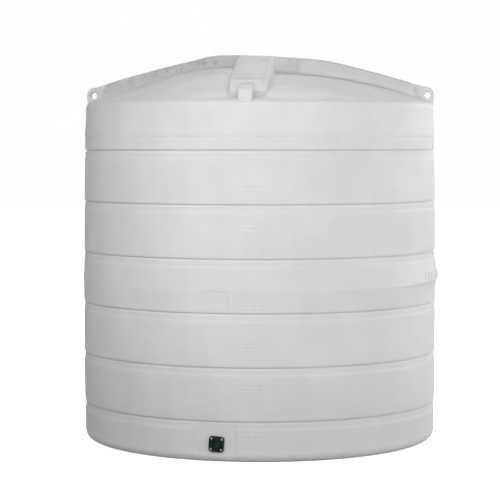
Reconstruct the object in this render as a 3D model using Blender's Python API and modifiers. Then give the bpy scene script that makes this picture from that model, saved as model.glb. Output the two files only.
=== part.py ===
"""Vertical storage tank, moulded in one wall with raised roof ribs and tie-down lugs.

Metres, +Z up. The origin is the centre of the base, on the surface the tank stands on.
The ribs lie on the X and Y axes, and the outlet faces roughly along -Y.
An azimuth is measured from -Y towards +X, seen from above.
"""

import math

import bmesh
import bpy
from mathutils import Matrix, Vector

# Driving dimensions of the tank
TANK_RADIUS = 1.524
WALL = 0.012
GAP = 0.0003
WALL_STEPS = 48
CUT_REACH = 0.2
SIDES = {"front": 0.0, "right": 90.0, "rear": 180.0, "left": 270.0}

# Wall bands, from the base up
BAND_HEIGHT = 0.432
LOWEST_GROOVE = 0.335
GROOVE_COUNT = 6
GROOVE_DEPTH = 0.014
GROOVE_HEIGHT = 0.016
STRIP_DEPTH = 0.004
STRIP_HEIGHT = 0.044
LIP_HEIGHT = 0.012
SEAT_WIDTH = 0.028
SEAT_HEIGHT = 0.014
RIDGE_BAND = 4
RIDGE_HEIGHT = 1.372
RIDGE_DEPTH = 0.003
BULGE_DEPTH = 0.017
BULGE_AZIMUTH = 85.0
BULGE_SPREAD = 60.0

# Base
BASE_CORNER_RADIUS = 0.080
BASE_FLAT_RADIUS = 1.441
FLOOR_THICKNESS = 0.014

# Shoulder, the band above the top groove
COLLAR_RADIUS = 1.514
COLLAR_TOP = 2.598
COLLAR_LINE_DEPTH = 0.002
COLLAR_LINE_HALF = 0.010
TAPER_TOP = 2.765
SHOULDER_RADIUS = 1.506
SHOULDER_TOP = 2.860
EAVE_CURVE_RADIUS = 1.493
EAVE_CURVE_HEIGHT = 2.883
EAVE_RADIUS = 1.470
EAVE_SEAT_RADIUS = 1.445

# Domed roof, a shallow bowl: height = top - fall * radius squared
ROOF_TOP = 3.174
ROOF_FALL = 0.127
ROOF_STEPS = 5
ROOF_CUT_BOTTOM = 2.5
ROOF_CUT_TOP = 3.6

# Crown and the four box ribs
CROWN_HALF = 0.355
CROWN_HEIGHT = 3.300
RIB_WIDTH = 0.286
RIB_TOP = 3.324
RIB_FALL = 0.3925
RIB_ROUND = 1.0
RIB_END = 1.325
RIB_STEPS = 5

# Tie-down lugs, one plate at the end of each rib
LUG_THICKNESS = 0.108
LUG_OUTER_RADIUS = 1.513
LUG_TOP = 3.044
LUG_TOP_FALL = 0.016
LUG_CORNER_RADIUS = 0.050
LUG_HOLE_RADIUS = 0.028
LUG_HOLE_AT = 1.452
LUG_HOLE_HEIGHT = 2.963
LUG_TOE_DEPTH = 0.010
LUG_HOLE_SIDES = 16

# Outlet, a bolted flange on a flat land in a sunk pad of the lowest band
PAD_AZIMUTH = -9.15
PAD_WIDTH = 0.345
PAD_DEPTH = 0.005
PAD_TOP = 0.300
LAND_SIZE = 0.136
LAND_DISTANCE = 1.514
OUTLET_AZIMUTH = -8.6
OUTLET_HEIGHT = 0.151
OUTLET_TURN = 4.0
FLANGE_SIZE = 0.126
FLANGE_CORNER = 0.025
FLANGE_THICKNESS = 0.011
GASKET_THICKNESS = 0.006
GASKET_INSET = 0.002
BORE_RADIUS = 0.036
WALL_HOLE_RADIUS = 0.040
LIP_RADIUS = 0.0445
LIP_THICKNESS = 0.009
LIP_EDGE = 0.004
PLUG_RADIUS = 0.0355
PLUG_LENGTH = 0.036
PLUG_SETBACK = 0.008
BOLT_SPACING = 0.085
BOLT_HEAD_RADIUS = 0.009
BOLT_HEAD_THICKNESS = 0.007
BOLT_SHANK_RADIUS = 0.005
BOLT_TIP = 0.012
ROUND_SIDES = 24
BOLT_SIDES = 12

# Manway, in the rear quadrant that the ribs hide
MANWAY_AZIMUTH = 135.0
MANWAY_AT = 0.800
MANWAY_RADIUS = 0.235
MANWAY_WALL = 0.014
MANWAY_TOP = 3.170
MANWAY_SIDES = 32
LID_RADIUS = 0.262
LID_THICKNESS = 0.042
LID_BEVEL = 0.010
VENT_RADIUS = 0.045
VENT_HEIGHT = 0.018
VENT_SIDES = 16

# Colour, roughness and metallic value of each finish
FINISHES = {
    "white_polyethylene": ((0.80, 0.80, 0.80), 0.50, 0.0),
    "black_fitting": ((0.012, 0.016, 0.014), 0.38, 0.0),
    "green_plug": ((0.010, 0.045, 0.028), 0.35, 0.0),
    "gasket_rubber": ((0.02, 0.02, 0.02), 0.75, 0.0),
    "bolt_steel": ((0.62, 0.62, 0.60), 0.28, 1.0),
}


def empty_the_scene():
    """Removes every object, so that the script gives the same result each run."""
    for old in list(bpy.data.objects):
        bpy.data.objects.remove(old, do_unlink=True)


def new_collection(name):
    """Returns a new collection linked to the scene."""
    collection = bpy.data.collections.new(name)
    bpy.context.scene.collection.children.link(collection)
    return collection


def make_material(name, finish):
    """Makes one Principled material."""
    colour, roughness, metallic = FINISHES[finish]
    material = bpy.data.materials.new(name)
    material.use_nodes = True
    shader = material.node_tree.nodes["Principled BSDF"]
    shader.inputs["Base Color"].default_value = (*colour, 1.0)
    shader.inputs["Roughness"].default_value = roughness
    shader.inputs["Metallic"].default_value = metallic
    return material


def add_part(name, mesh, finish, matrix=None):
    """Puts a mesh in the scene as one named part with its own material."""
    part = bpy.data.objects.new(name, mesh)
    PARTS.objects.link(part)
    mesh.materials.append(make_material(name, finish))
    if matrix is not None:
        part.matrix_world = matrix
    return part


def add_cutter(name, mesh, matrix=None):
    """Puts a mesh in the scene as a cutter, which isn't a part."""
    cutter = bpy.data.objects.new(name, mesh)
    CUTTERS.objects.link(cutter)
    cutter.hide_render = True
    cutter.display_type = "WIRE"
    if matrix is not None:
        cutter.matrix_world = matrix
    return cutter


def boolean(part, other, operation):
    """Adds an exact Boolean modifier."""
    step = part.modifiers.new(operation.title(), "BOOLEAN")
    step.object = other
    step.operation = operation
    step.solver = "EXACT"
    return step


def bevel(part, width, segments, angle=40.0):
    """Rounds every edge sharper than the angle."""
    step = part.modifiers.new("Bevel", "BEVEL")
    step.width = width
    step.segments = segments
    step.limit_method = "ANGLE"
    step.angle_limit = math.radians(angle)
    return step


def smooth(mesh, angle=35.0):
    """Shades the mesh smooth, apart from edges sharper than the angle."""
    mesh.shade_smooth()
    mesh.set_sharp_from_angle(angle=math.radians(angle))


def outward(azimuth):
    """The horizontal direction at an azimuth."""
    turn = math.radians(azimuth)
    return Vector((math.sin(turn), -math.cos(turn), 0.0))


def at_azimuth(azimuth, radius=0.0, height=0.0):
    """A frame whose +X points outwards at the azimuth, with +Z up."""
    place = outward(azimuth) * radius
    place.z = height
    turn = Matrix.Rotation(math.radians(azimuth - 90.0), 4, "Z")
    return Matrix.Translation(place) @ turn


def roof_height(radius):
    """Height of the domed roof's outer face."""
    return ROOF_TOP - ROOF_FALL * radius * radius


def rib_height(radius):
    """Height of a rib's top face, curved near the crown and almost straight near the eave."""
    return RIB_TOP - RIB_FALL * (math.hypot(radius, RIB_ROUND) - RIB_ROUND)


def profile_mesh(name, points):
    """A closed outline in the XZ plane, outer side first and from the top down."""
    mesh = bpy.data.meshes.new(name)
    shape = bmesh.new()
    corners = [shape.verts.new((radius, 0.0, height)) for radius, height in points]
    for first, second in zip(corners, corners[1:] + corners[:1]):
        shape.edges.new((first, second))
    shape.to_mesh(mesh)
    shape.free()
    return mesh


def turn_profile(part, steps=WALL_STEPS):
    """Turns the part's outline once round its Z axis."""
    step = part.modifiers.new("Turn", "SCREW")
    step.steps = steps
    step.render_steps = steps
    step.use_merge_vertices = True
    step.merge_threshold = 0.00005
    step.use_smooth_shade = True
    return step


def applied_mesh(part):
    """The part's mesh with its modifiers applied, in its own frame."""
    graph = bpy.context.evaluated_depsgraph_get()
    return bpy.data.meshes.new_from_object(part.evaluated_get(graph))


def turned_mesh(name, points, steps=WALL_STEPS):
    """A closed outline turned once round the Z axis, as a plain mesh."""
    guide = add_cutter(name, profile_mesh(name, points))
    turn_profile(guide, steps)
    mesh = applied_mesh(guide)
    bpy.data.objects.remove(guide, do_unlink=True)
    return mesh


def thicken(shape, offset):
    """Gives an open surface its thickness by extruding it, and turns its faces outwards."""
    wall = bmesh.ops.extrude_face_region(shape, geom=list(shape.faces))
    moved = [item for item in wall["geom"] if isinstance(item, bmesh.types.BMVert)]
    bmesh.ops.translate(shape, vec=offset, verts=moved)
    bmesh.ops.recalc_face_normals(shape, faces=shape.faces)


def turned_part(name, points, finish, steps=WALL_STEPS, matrix=None):
    """A part made by turning an outline round its Z axis."""
    part = add_part(name, profile_mesh(name, points), finish, matrix)
    turn_profile(part, steps)
    return part


def box_mesh(name, low, high):
    """A box between two corners."""
    mesh = bpy.data.meshes.new(name)
    shape = bmesh.new()
    size = [top - bottom for bottom, top in zip(low, high)]
    centre = [(top + bottom) / 2 for bottom, top in zip(low, high)]
    bmesh.ops.create_cube(shape, size=1.0)
    bmesh.ops.scale(shape, vec=size, verts=shape.verts)
    bmesh.ops.translate(shape, vec=centre, verts=shape.verts)
    shape.to_mesh(mesh)
    shape.free()
    return mesh


def cut_corners(mesh, axis, offset, segments):
    """Bevels the box edges that run along one axis, 0 for X or 2 for Z."""
    shape = bmesh.new()
    shape.from_mesh(mesh)
    along = []
    for edge in shape.edges:
        start, end = (vertex.co for vertex in edge.verts)
        if abs(end[axis] - start[axis]) > GAP:
            along.append(edge)
    bmesh.ops.bevel(shape, geom=along, offset=offset, segments=segments, profile=0.5, affect="EDGES")
    shape.to_mesh(mesh)
    shape.free()


def cylinder_mesh(name, radius, start, end, axis, sides):
    """A cylinder along one of the axes X, Y and Z, from start to end."""
    mesh = bpy.data.meshes.new(name)
    shape = bmesh.new()
    bmesh.ops.create_cone(
        shape, cap_ends=True, segments=sides, radius1=radius, radius2=radius, depth=end - start
    )
    bmesh.ops.translate(shape, vec=(0.0, 0.0, (start + end) / 2), verts=shape.verts)
    turns = {"X": Matrix.Rotation(math.pi / 2, 3, "Y"), "Y": Matrix.Rotation(-math.pi / 2, 3, "X")}
    if axis in turns:
        bmesh.ops.rotate(shape, cent=(0.0, 0.0, 0.0), matrix=turns[axis], verts=shape.verts)
    shape.to_mesh(mesh)
    shape.free()
    return mesh


def plate_mesh(name, outline, start, end):
    """A flat outline in the XZ plane, given its thickness along Y from start to end."""
    mesh = bpy.data.meshes.new(name)
    shape = bmesh.new()
    shape.faces.new([shape.verts.new((x, start, z)) for x, z in outline])
    thicken(shape, (0.0, end - start, 0.0))
    shape.to_mesh(mesh)
    shape.free()
    return mesh


def arc(centre, radius, start, end, steps):
    """Points along an arc, with its angles in degrees."""
    points = []
    for index in range(steps + 1):
        angle = math.radians(start + (end - start) * index / steps)
        points.append((centre[0] + radius * math.cos(angle), centre[1] + radius * math.sin(angle)))
    return points


def groove_height(index):
    """Height of a groove's line, counted from the lowest, which is 0."""
    return LOWEST_GROOVE + BAND_HEIGHT * index


def band_top_points(top):
    """Outer side under a groove: the groove, the sunk strip and the lip."""
    groove_foot = top - GROOVE_HEIGHT
    strip_foot = groove_foot - STRIP_HEIGHT
    return [
        (TANK_RADIUS - GROOVE_DEPTH, top - GAP),
        (TANK_RADIUS - GROOVE_DEPTH, groove_foot),
        (TANK_RADIUS - STRIP_DEPTH, groove_foot - STRIP_DEPTH),
        (TANK_RADIUS - STRIP_DEPTH, strip_foot),
        (TANK_RADIUS, strip_foot - LIP_HEIGHT),
    ]


def inner_points(bottom, top, radius=TANK_RADIUS):
    """Inner side of a band from the bottom up, thick where bands sit on each other."""
    strip_foot = top - GROOVE_HEIGHT - STRIP_HEIGHT
    return [
        (radius - SEAT_WIDTH, bottom),
        (radius - SEAT_WIDTH, bottom + SEAT_HEIGHT),
        (radius - WALL, bottom + 2 * SEAT_HEIGHT),
        (radius - WALL, strip_foot - LIP_HEIGHT),
        (radius - SEAT_WIDTH, strip_foot + SEAT_HEIGHT),
        (radius - SEAT_WIDTH, top - GAP),
    ]


def ring_points(outer, inner, bottom, top):
    """A plain ring's outline."""
    return [(outer, top), (outer, bottom), (inner, bottom), (inner, top)]


def add_floor():
    """The flat floor disc inside the bottom band's rounded foot."""
    mesh = cylinder_mesh("base_floor", BASE_FLAT_RADIUS - GAP, 0.0, FLOOR_THICKNESS, "Z", WALL_STEPS)
    smooth(mesh)
    return add_part("base_floor", mesh, "white_polyethylene")


def add_pad_cutter():
    """A curved slab that sinks the outlet pad a hair deeper than the strip above it."""
    outer = TANK_RADIUS + CUT_REACH
    inner = TANK_RADIUS - PAD_DEPTH
    outline = profile_mesh("outlet_pad_cut", ring_points(outer, inner, -CUT_REACH, PAD_TOP))
    slab = add_cutter("outlet_pad_cut", outline)
    turn_profile(slab)
    half = PAD_WIDTH / 2
    window = box_mesh("outlet_pad_window", (0.0, -half, -TANK_RADIUS), (2 * TANK_RADIUS, half, TANK_RADIUS))
    boolean(slab, add_cutter("outlet_pad_window", window, at_azimuth(PAD_AZIMUTH)), "INTERSECT")
    return slab


def add_bottom_band():
    """The lowest band, with its rounded foot, the flat outlet pad and the outlet's hole."""
    top = groove_height(0)
    arc_centre = TANK_RADIUS - BASE_CORNER_RADIUS
    points = band_top_points(top)
    points += arc((arc_centre, BASE_CORNER_RADIUS), BASE_CORNER_RADIUS, 0.0, -90.0, 4)
    points += [
        (BASE_FLAT_RADIUS, 0.0),
        (BASE_FLAT_RADIUS, FLOOR_THICKNESS),
        (arc_centre + WALL, 2 * FLOOR_THICKNESS),
        (TANK_RADIUS - SEAT_WIDTH, BASE_CORNER_RADIUS),
        (TANK_RADIUS - SEAT_WIDTH, top - GAP),
    ]
    band = turned_part("wall_band_1", points, "white_polyethylene")
    boolean(band, add_pad_cutter(), "DIFFERENCE")
    half = LAND_SIZE / 2
    land = box_mesh("outlet_land_cut", (0.0, -half, -half), (CUT_REACH, half, half))
    boolean(band, add_cutter("outlet_land_cut", land, outlet_frame(0.0)), "DIFFERENCE")
    hole = cylinder_mesh("outlet_hole_cut", WALL_HOLE_RADIUS, -CUT_REACH, CUT_REACH, "X", ROUND_SIDES)
    boolean(band, add_cutter("outlet_hole_cut", hole, outlet_frame(0.0)), "DIFFERENCE")
    return band


def ridge_band_mesh(name, bottom, top):
    """The band with the mould's parting ridge, and the bulge in it."""
    outer = band_top_points(top)
    outer.append((TANK_RADIUS + RIDGE_DEPTH, RIDGE_HEIGHT))
    outer.append((TANK_RADIUS, bottom))
    mesh = turned_mesh(name, outer + inner_points(bottom, top))
    centre = outward(BULGE_AZIMUTH)
    for vertex in mesh.vertices:
        if abs(vertex.co.z - RIDGE_HEIGHT) > WALL:
            continue
        flat = Vector((vertex.co.x, vertex.co.y, 0.0)).normalized()
        away = math.degrees(flat.angle(centre)) / BULGE_SPREAD
        vertex.co += flat * BULGE_DEPTH * math.exp(-away * away)
    return mesh


def add_middle_bands():
    """The bands between the grooves."""
    for index in range(1, GROOVE_COUNT):
        name = f"wall_band_{index + 1}"
        bottom = groove_height(index - 1)
        top = groove_height(index)
        if index + 1 == RIDGE_BAND:
            mesh = ridge_band_mesh(name, bottom, top)
            smooth(mesh)
            add_part(name, mesh, "white_polyethylene")
            continue
        points = band_top_points(top)
        points.append((TANK_RADIUS, bottom))
        turned_part(name, points + inner_points(bottom, top), "white_polyethylene")


def eave_points():
    """Outer side of the rounded edge between the roof and the wall, from the top down."""
    return [
        (EAVE_SEAT_RADIUS, roof_height(EAVE_SEAT_RADIUS)),
        (EAVE_RADIUS, roof_height(EAVE_RADIUS)),
        (EAVE_CURVE_RADIUS, EAVE_CURVE_HEIGHT),
        (SHOULDER_RADIUS, SHOULDER_TOP),
    ]


def add_shoulder():
    """The top band, which tapers in to the eave that the roof sits in."""
    bottom = groove_height(GROOVE_COUNT - 1)
    points = eave_points()
    points += [
        (SHOULDER_RADIUS, TAPER_TOP),
        (COLLAR_RADIUS, COLLAR_TOP + COLLAR_LINE_HALF),
        (COLLAR_RADIUS - COLLAR_LINE_DEPTH, COLLAR_TOP),
        (COLLAR_RADIUS, COLLAR_TOP - COLLAR_LINE_HALF),
        (COLLAR_RADIUS, bottom),
        (TANK_RADIUS - SEAT_WIDTH, bottom),
        (TANK_RADIUS - SEAT_WIDTH, bottom + SEAT_HEIGHT),
        (COLLAR_RADIUS - WALL, bottom + 2 * SEAT_HEIGHT),
        (SHOULDER_RADIUS - WALL, TAPER_TOP),
        (SHOULDER_RADIUS - WALL, SHOULDER_TOP - 3 * WALL),
        (EAVE_SEAT_RADIUS, SHOULDER_TOP),
    ]
    return turned_part("wall_band_7", points, "white_polyethylene")


def quarter_mesh(name):
    """A quarter of the domed roof between two ribs, running a little past the eave."""
    half = RIB_WIDTH / 2 + GAP
    inner = CROWN_HALF - WALL
    mesh = bpy.data.meshes.new(name)
    shape = bmesh.new()
    rows = []
    for ring in range(ROOF_STEPS + 1):
        radius = inner + (EAVE_RADIUS - inner) * ring / ROOF_STEPS
        margin = math.asin(half / radius)
        row = []
        for step in range(WALL_STEPS // 4 + 1):
            turn = margin + (math.pi / 2 - 2 * margin) * step * 4 / WALL_STEPS
            place = (radius * math.cos(turn), radius * math.sin(turn), roof_height(radius))
            row.append(shape.verts.new(place))
        rows.append(row)
    for low, high in zip(rows, rows[1:]):
        for index in range(len(low) - 1):
            shape.faces.new((low[index], high[index], high[index + 1], low[index + 1]))
    thicken(shape, (0.0, 0.0, -WALL))
    shape.to_mesh(mesh)
    shape.free()
    return mesh


def trim_to_eave(part):
    """Ends a roof piece at the eave's inner face."""
    name = f"{part.name}_eave_cut"
    radius = EAVE_SEAT_RADIUS - GAP
    eave = cylinder_mesh(name, radius, ROOF_CUT_BOTTOM, ROOF_CUT_TOP, "Z", WALL_STEPS)
    boolean(part, add_cutter(name, eave), "INTERSECT")


def add_roof():
    """The four domed panels between the ribs, one with the manway's hole."""
    places = {"rear_right": 0.0, "rear_left": 90.0, "front_left": 180.0, "front_right": 270.0}
    for side, turn in places.items():
        name = f"roof_{side}"
        frame = Matrix.Rotation(math.radians(turn), 4, "Z")
        panel = add_part(name, quarter_mesh(name), "white_polyethylene", frame)
        trim_to_eave(panel)
        octagon = crown_mesh(f"{name}_crown_cut", CROWN_HALF + GAP, ROOF_CUT_BOTTOM, ROOF_CUT_TOP)
        boolean(panel, add_cutter(f"{name}_crown_cut", octagon), "DIFFERENCE")
        if side == "rear_right":
            radius = MANWAY_RADIUS + GAP
            cut = cylinder_mesh("manway_cut", radius, ROOF_CUT_BOTTOM, ROOF_CUT_TOP, "Z", MANWAY_SIDES)
            place = at_azimuth(MANWAY_AZIMUTH, MANWAY_AT)
            boolean(panel, add_cutter("manway_cut", cut, place), "DIFFERENCE")


def radii_between(start, end, steps):
    """Evenly spaced radii, both ends included."""
    return [start + (end - start) * index / steps for index in range(steps + 1)]


def rib_outline():
    """Side view of one rib: its crowned top, its end face and the roof strip beyond it."""
    start = CROWN_HALF + GAP
    spine = [(radius, rib_height(radius)) for radius in radii_between(start, RIB_END, RIB_STEPS)]
    strip = [(RIB_END, roof_height(RIB_END)), (EAVE_RADIUS, roof_height(EAVE_RADIUS))]
    foot = [(EAVE_RADIUS, roof_height(EAVE_RADIUS) - WALL)]
    for radius in radii_between(RIB_END, start, RIB_STEPS):
        foot.append((radius, roof_height(radius) - WALL))
    return spine + strip + foot


def rib_hollow_outline():
    """Side view of the space inside a rib, which is open to the tank below."""
    end = RIB_END - WALL
    start = CROWN_HALF - WALL
    spine = [(radius, rib_height(radius) - WALL) for radius in radii_between(start, end, RIB_STEPS)]
    return spine + [(end, ROOF_CUT_BOTTOM), (start, ROOF_CUT_BOTTOM)]


def add_ribs():
    """The four box ribs that run from the crown to the lugs."""
    half = RIB_WIDTH / 2
    for side, azimuth in SIDES.items():
        name = f"rib_{side}"
        frame = at_azimuth(azimuth)
        rib = add_part(name, plate_mesh(name, rib_outline(), -half, half), "white_polyethylene", frame)
        hollow = plate_mesh(f"{name}_hollow", rib_hollow_outline(), WALL - half, half - WALL)
        boolean(rib, add_cutter(f"{name}_hollow", hollow, frame), "DIFFERENCE")
        trim_to_eave(rib)


def lug_outline():
    """Side view of one lug, from the rib's end face out over the eave."""
    start = RIB_END + GAP
    corner_centre = (LUG_OUTER_RADIUS - LUG_CORNER_RADIUS, LUG_TOP - LUG_TOP_FALL - LUG_CORNER_RADIUS)
    outline = [(start, LUG_TOP)]
    outline += arc(corner_centre, LUG_CORNER_RADIUS, 80.0, 0.0, 4)
    outline.append((LUG_OUTER_RADIUS, SHOULDER_TOP - LUG_TOE_DEPTH))
    outline.append((SHOULDER_RADIUS + GAP, SHOULDER_TOP - LUG_TOE_DEPTH))
    outline += [(radius + GAP, height + GAP) for radius, height in reversed(eave_points())]
    outline.append((start, roof_height(start) + GAP))
    return outline


def add_lugs():
    """The four tie-down lugs, each with its hole."""
    half = LUG_THICKNESS / 2
    for side, azimuth in SIDES.items():
        name = f"tie_down_lug_{side}"
        frame = at_azimuth(azimuth)
        lug = add_part(name, plate_mesh(name, lug_outline(), -half, half), "white_polyethylene", frame)
        hole = cylinder_mesh(f"{name}_hole_cut", LUG_HOLE_RADIUS, -CUT_REACH, CUT_REACH, "Y", LUG_HOLE_SIDES)
        place = at_azimuth(azimuth, LUG_HOLE_AT, LUG_HOLE_HEIGHT)
        boolean(lug, add_cutter(f"{name}_hole_cut", hole, place), "DIFFERENCE")


def crown_mesh(name, half, bottom, top):
    """An eight-sided block whose straight sides are as wide as the ribs."""
    mesh = box_mesh(name, (-half, -half, bottom), (half, half, top))
    cut_corners(mesh, 2, half - RIB_WIDTH / 2, 1)
    return mesh


def add_crown():
    """The flat crown that the ribs meet at, hollow below like the ribs."""
    foot = roof_height(CROWN_HALF) - WALL
    crown = add_part("crown", crown_mesh("crown", CROWN_HALF, foot, CROWN_HEIGHT), "white_polyethylene")
    hollow = crown_mesh("crown_hollow", CROWN_HALF - WALL, ROOF_CUT_BOTTOM, CROWN_HEIGHT - WALL)
    boolean(crown, add_cutter("crown_hollow", hollow), "DIFFERENCE")
    return crown


def outlet_frame(distance):
    """A frame on the outlet's axis, with +X outwards, that far out from the flat land."""
    roll = Matrix.Rotation(math.radians(-OUTLET_TURN), 4, "X")
    return at_azimuth(OUTLET_AZIMUTH, LAND_DISTANCE + distance, OUTLET_HEIGHT) @ roll


def square_plate(name, size, thickness, finish, start):
    """A square plate with round corners, a bore and four bolt holes."""
    half = size / 2
    mesh = box_mesh(name, (0.0, -half, -half), (thickness, half, half))
    cut_corners(mesh, 0, FLANGE_CORNER, 4)
    plate = add_part(name, mesh, finish, outlet_frame(start))
    bore = cylinder_mesh(f"{name}_bore_cut", BORE_RADIUS, -CUT_REACH, CUT_REACH, "X", ROUND_SIDES)
    boolean(plate, add_cutter(f"{name}_bore_cut", bore, outlet_frame(start)), "DIFFERENCE")
    for across, up in bolt_places():
        radius = BOLT_SHANK_RADIUS + GAP
        hole = cylinder_mesh(f"{name}_bolt_cut", radius, -CUT_REACH, CUT_REACH, "X", BOLT_SIDES)
        place = outlet_frame(start) @ Matrix.Translation((0.0, across, up))
        boolean(plate, add_cutter(f"{name}_bolt_cut", hole, place), "DIFFERENCE")
    return plate


def bolt_places():
    """Where the four bolts stand on the flange."""
    half = BOLT_SPACING / 2
    return [(-half, half), (half, half), (half, -half), (-half, -half)]


def add_bolt(name, place):
    """A round-headed bolt whose shank fills the plates' holes."""
    head = cylinder_mesh(name, BOLT_HEAD_RADIUS, GAP, BOLT_HEAD_THICKNESS, "X", BOLT_SIDES)
    bolt = add_part(name, head, "bolt_steel", place)
    shank = cylinder_mesh(f"{name}_shank", BOLT_SHANK_RADIUS, -BOLT_TIP, GAP * 2, "X", BOLT_SIDES)
    boolean(bolt, add_cutter(f"{name}_shank", shank, place), "UNION")


def add_outlet():
    """The gasket, the flange with its lip, the plug and the bolts."""
    gasket_size = FLANGE_SIZE - 2 * GASKET_INSET
    square_plate("outlet_gasket", gasket_size, GASKET_THICKNESS, "gasket_rubber", GAP)
    flange_start = GASKET_THICKNESS + 2 * GAP
    square_plate("outlet_flange", FLANGE_SIZE, FLANGE_THICKNESS, "black_fitting", flange_start)
    flange_end = flange_start + FLANGE_THICKNESS
    lip_points = [
        (LIP_RADIUS - LIP_EDGE, LIP_THICKNESS),
        (LIP_RADIUS, LIP_THICKNESS - LIP_EDGE),
        (LIP_RADIUS, 0.0),
        (BORE_RADIUS, 0.0),
        (BORE_RADIUS, LIP_THICKNESS),
    ]
    place = outlet_frame(flange_end + GAP) @ Matrix.Rotation(math.pi / 2, 4, "Y")
    turned_part("outlet_lip", lip_points, "black_fitting", ROUND_SIDES, place)
    plug_mesh = cylinder_mesh("outlet_plug", PLUG_RADIUS, -PLUG_LENGTH, 0.0, "X", ROUND_SIDES)
    smooth(plug_mesh)
    plug_end = flange_end + GAP + LIP_THICKNESS - PLUG_SETBACK
    add_part("outlet_plug", plug_mesh, "green_plug", outlet_frame(plug_end))
    for number, (across, up) in enumerate(bolt_places(), 1):
        place = outlet_frame(flange_end) @ Matrix.Translation((0.0, across, up))
        add_bolt(f"outlet_bolt_{number}", place)


def add_manway():
    """The manway's neck, its lid and the vent in the lid's middle."""
    foot = roof_height(MANWAY_AT + MANWAY_RADIUS) - 2 * WALL
    frame = at_azimuth(MANWAY_AZIMUTH, MANWAY_AT)
    neck = ring_points(MANWAY_RADIUS, MANWAY_RADIUS - MANWAY_WALL, foot, MANWAY_TOP)
    turned_part("manway_neck", neck, "white_polyethylene", MANWAY_SIDES, frame)
    lid_bottom = MANWAY_TOP + GAP
    lid_top = lid_bottom + LID_THICKNESS
    lid_mesh = cylinder_mesh("manway_lid", LID_RADIUS, lid_bottom, lid_top, "Z", MANWAY_SIDES)
    smooth(lid_mesh)
    lid = add_part("manway_lid", lid_mesh, "white_polyethylene", frame)
    bevel(lid, LID_BEVEL, 2)
    vent_bottom = lid_top + GAP
    vent_top = vent_bottom + VENT_HEIGHT
    vent = cylinder_mesh("manway_vent", VENT_RADIUS, vent_bottom, vent_top, "Z", VENT_SIDES)
    smooth(vent)
    add_part("manway_vent", vent, "white_polyethylene", frame)


def build_tank():
    """Makes the whole tank."""
    add_floor()
    add_bottom_band()
    add_middle_bands()
    add_shoulder()
    add_roof()
    add_crown()
    add_ribs()
    add_lugs()
    add_outlet()
    add_manway()


empty_the_scene()
PARTS = new_collection("vertical_storage_tank")
CUTTERS = new_collection("cutters")
build_tank()
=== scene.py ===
"""Looks of a moulded vertical storage tank, built as an add-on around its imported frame.

Metres, +Z up, with the origin at the centre of the base. An azimuth is measured from -Y
towards +X, seen from above. Each piece stands where its node in the frame stands.
"""

import math

import bmesh
import bpy
from bpy.props import FloatProperty, FloatVectorProperty, IntProperty, PointerProperty
from mathutils import Matrix, Vector, noise


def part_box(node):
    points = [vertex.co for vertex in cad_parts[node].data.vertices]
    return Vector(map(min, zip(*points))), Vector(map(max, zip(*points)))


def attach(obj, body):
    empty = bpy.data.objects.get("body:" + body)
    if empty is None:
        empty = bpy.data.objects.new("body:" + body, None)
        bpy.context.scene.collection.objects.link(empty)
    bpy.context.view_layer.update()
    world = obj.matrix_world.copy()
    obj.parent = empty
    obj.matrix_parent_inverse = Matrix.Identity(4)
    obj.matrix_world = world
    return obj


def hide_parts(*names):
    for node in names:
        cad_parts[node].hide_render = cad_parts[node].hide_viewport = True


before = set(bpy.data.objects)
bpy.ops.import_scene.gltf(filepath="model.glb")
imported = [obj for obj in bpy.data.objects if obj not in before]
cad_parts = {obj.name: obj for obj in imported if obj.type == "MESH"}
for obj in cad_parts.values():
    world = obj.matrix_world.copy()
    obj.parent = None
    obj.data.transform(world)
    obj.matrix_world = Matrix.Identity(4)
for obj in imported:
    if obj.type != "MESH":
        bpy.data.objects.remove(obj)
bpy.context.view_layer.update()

bl_info = {
    "name": "Moulded storage tank",
    "version": (1, 0, 0),
    "blender": (4, 5, 0),
    "location": "View3D > Sidebar > Tank",
    "description": "Models and finishes a moulded vertical storage tank piece by piece",
    "category": "Object",
}

# Where the frame's grooves, roof and fittings are
GROOVES = [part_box(f"wall_band_{number}")[1].z for number in range(1, 7)]
SIDES = {"front": 0.0, "right": 90.0, "rear": 180.0, "left": 270.0}
QUARTERS = {"rear_right": 0.0, "rear_left": 90.0, "front_left": 180.0, "front_right": 270.0}

# Wall radius at each height, from the base up
WALL_STATIONS = [
    (0.000, 1.518), (0.335, 1.521), (0.400, 1.525), (0.750, 1.527), (1.200, 1.525),
    (1.600, 1.524), (2.060, 1.521), (2.110, 1.520), (2.493, 1.5135),
]

# Domed roof, box ribs and the flat crown between them, which leans a little
ROOF_TOP, ROOF_FALL = 3.174, 0.127
RIB_TOP, RIB_FALL, RIB_ROUND = 3.330, 0.342, 0.75
CROWN_TOP, CROWN_LEAN = 3.294, 0.036


class TankSizes(bpy.types.PropertyGroup):
    """Sizes that shape the tank's surfaces."""

    segments: IntProperty(
        name="Segments", description="Steps round the wall", default=320, min=48)
    groove_depth: FloatProperty(
        name="Groove depth", description="How far each groove steps in", default=0.013, unit="LENGTH")
    groove_height: FloatProperty(
        name="Groove height", description="Height of each groove", default=0.016, unit="LENGTH")
    strip_depth: FloatProperty(
        name="Strip depth", description="How far the lowest strip is sunk", default=0.0065, unit="LENGTH")
    strip_height: FloatProperty(
        name="Strip height", description="Height of the sunk strip", default=0.044, unit="LENGTH")
    wave: FloatProperty(
        name="Wall wave", description="Height of the low waves in the wall", default=0.0016, unit="LENGTH")
    rib_round: FloatProperty(
        name="Rib edge radius", description="Rounding of the ribs' edges", default=0.018, unit="LENGTH")
    rib_fillet: FloatProperty(
        name="Rib foot fillet", description="Fillet between a rib and the roof", default=0.038, unit="LENGTH")
    lug_round: FloatProperty(
        name="Lug edge radius", description="Rounding of the lugs' edges", default=0.009, unit="LENGTH")


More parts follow.
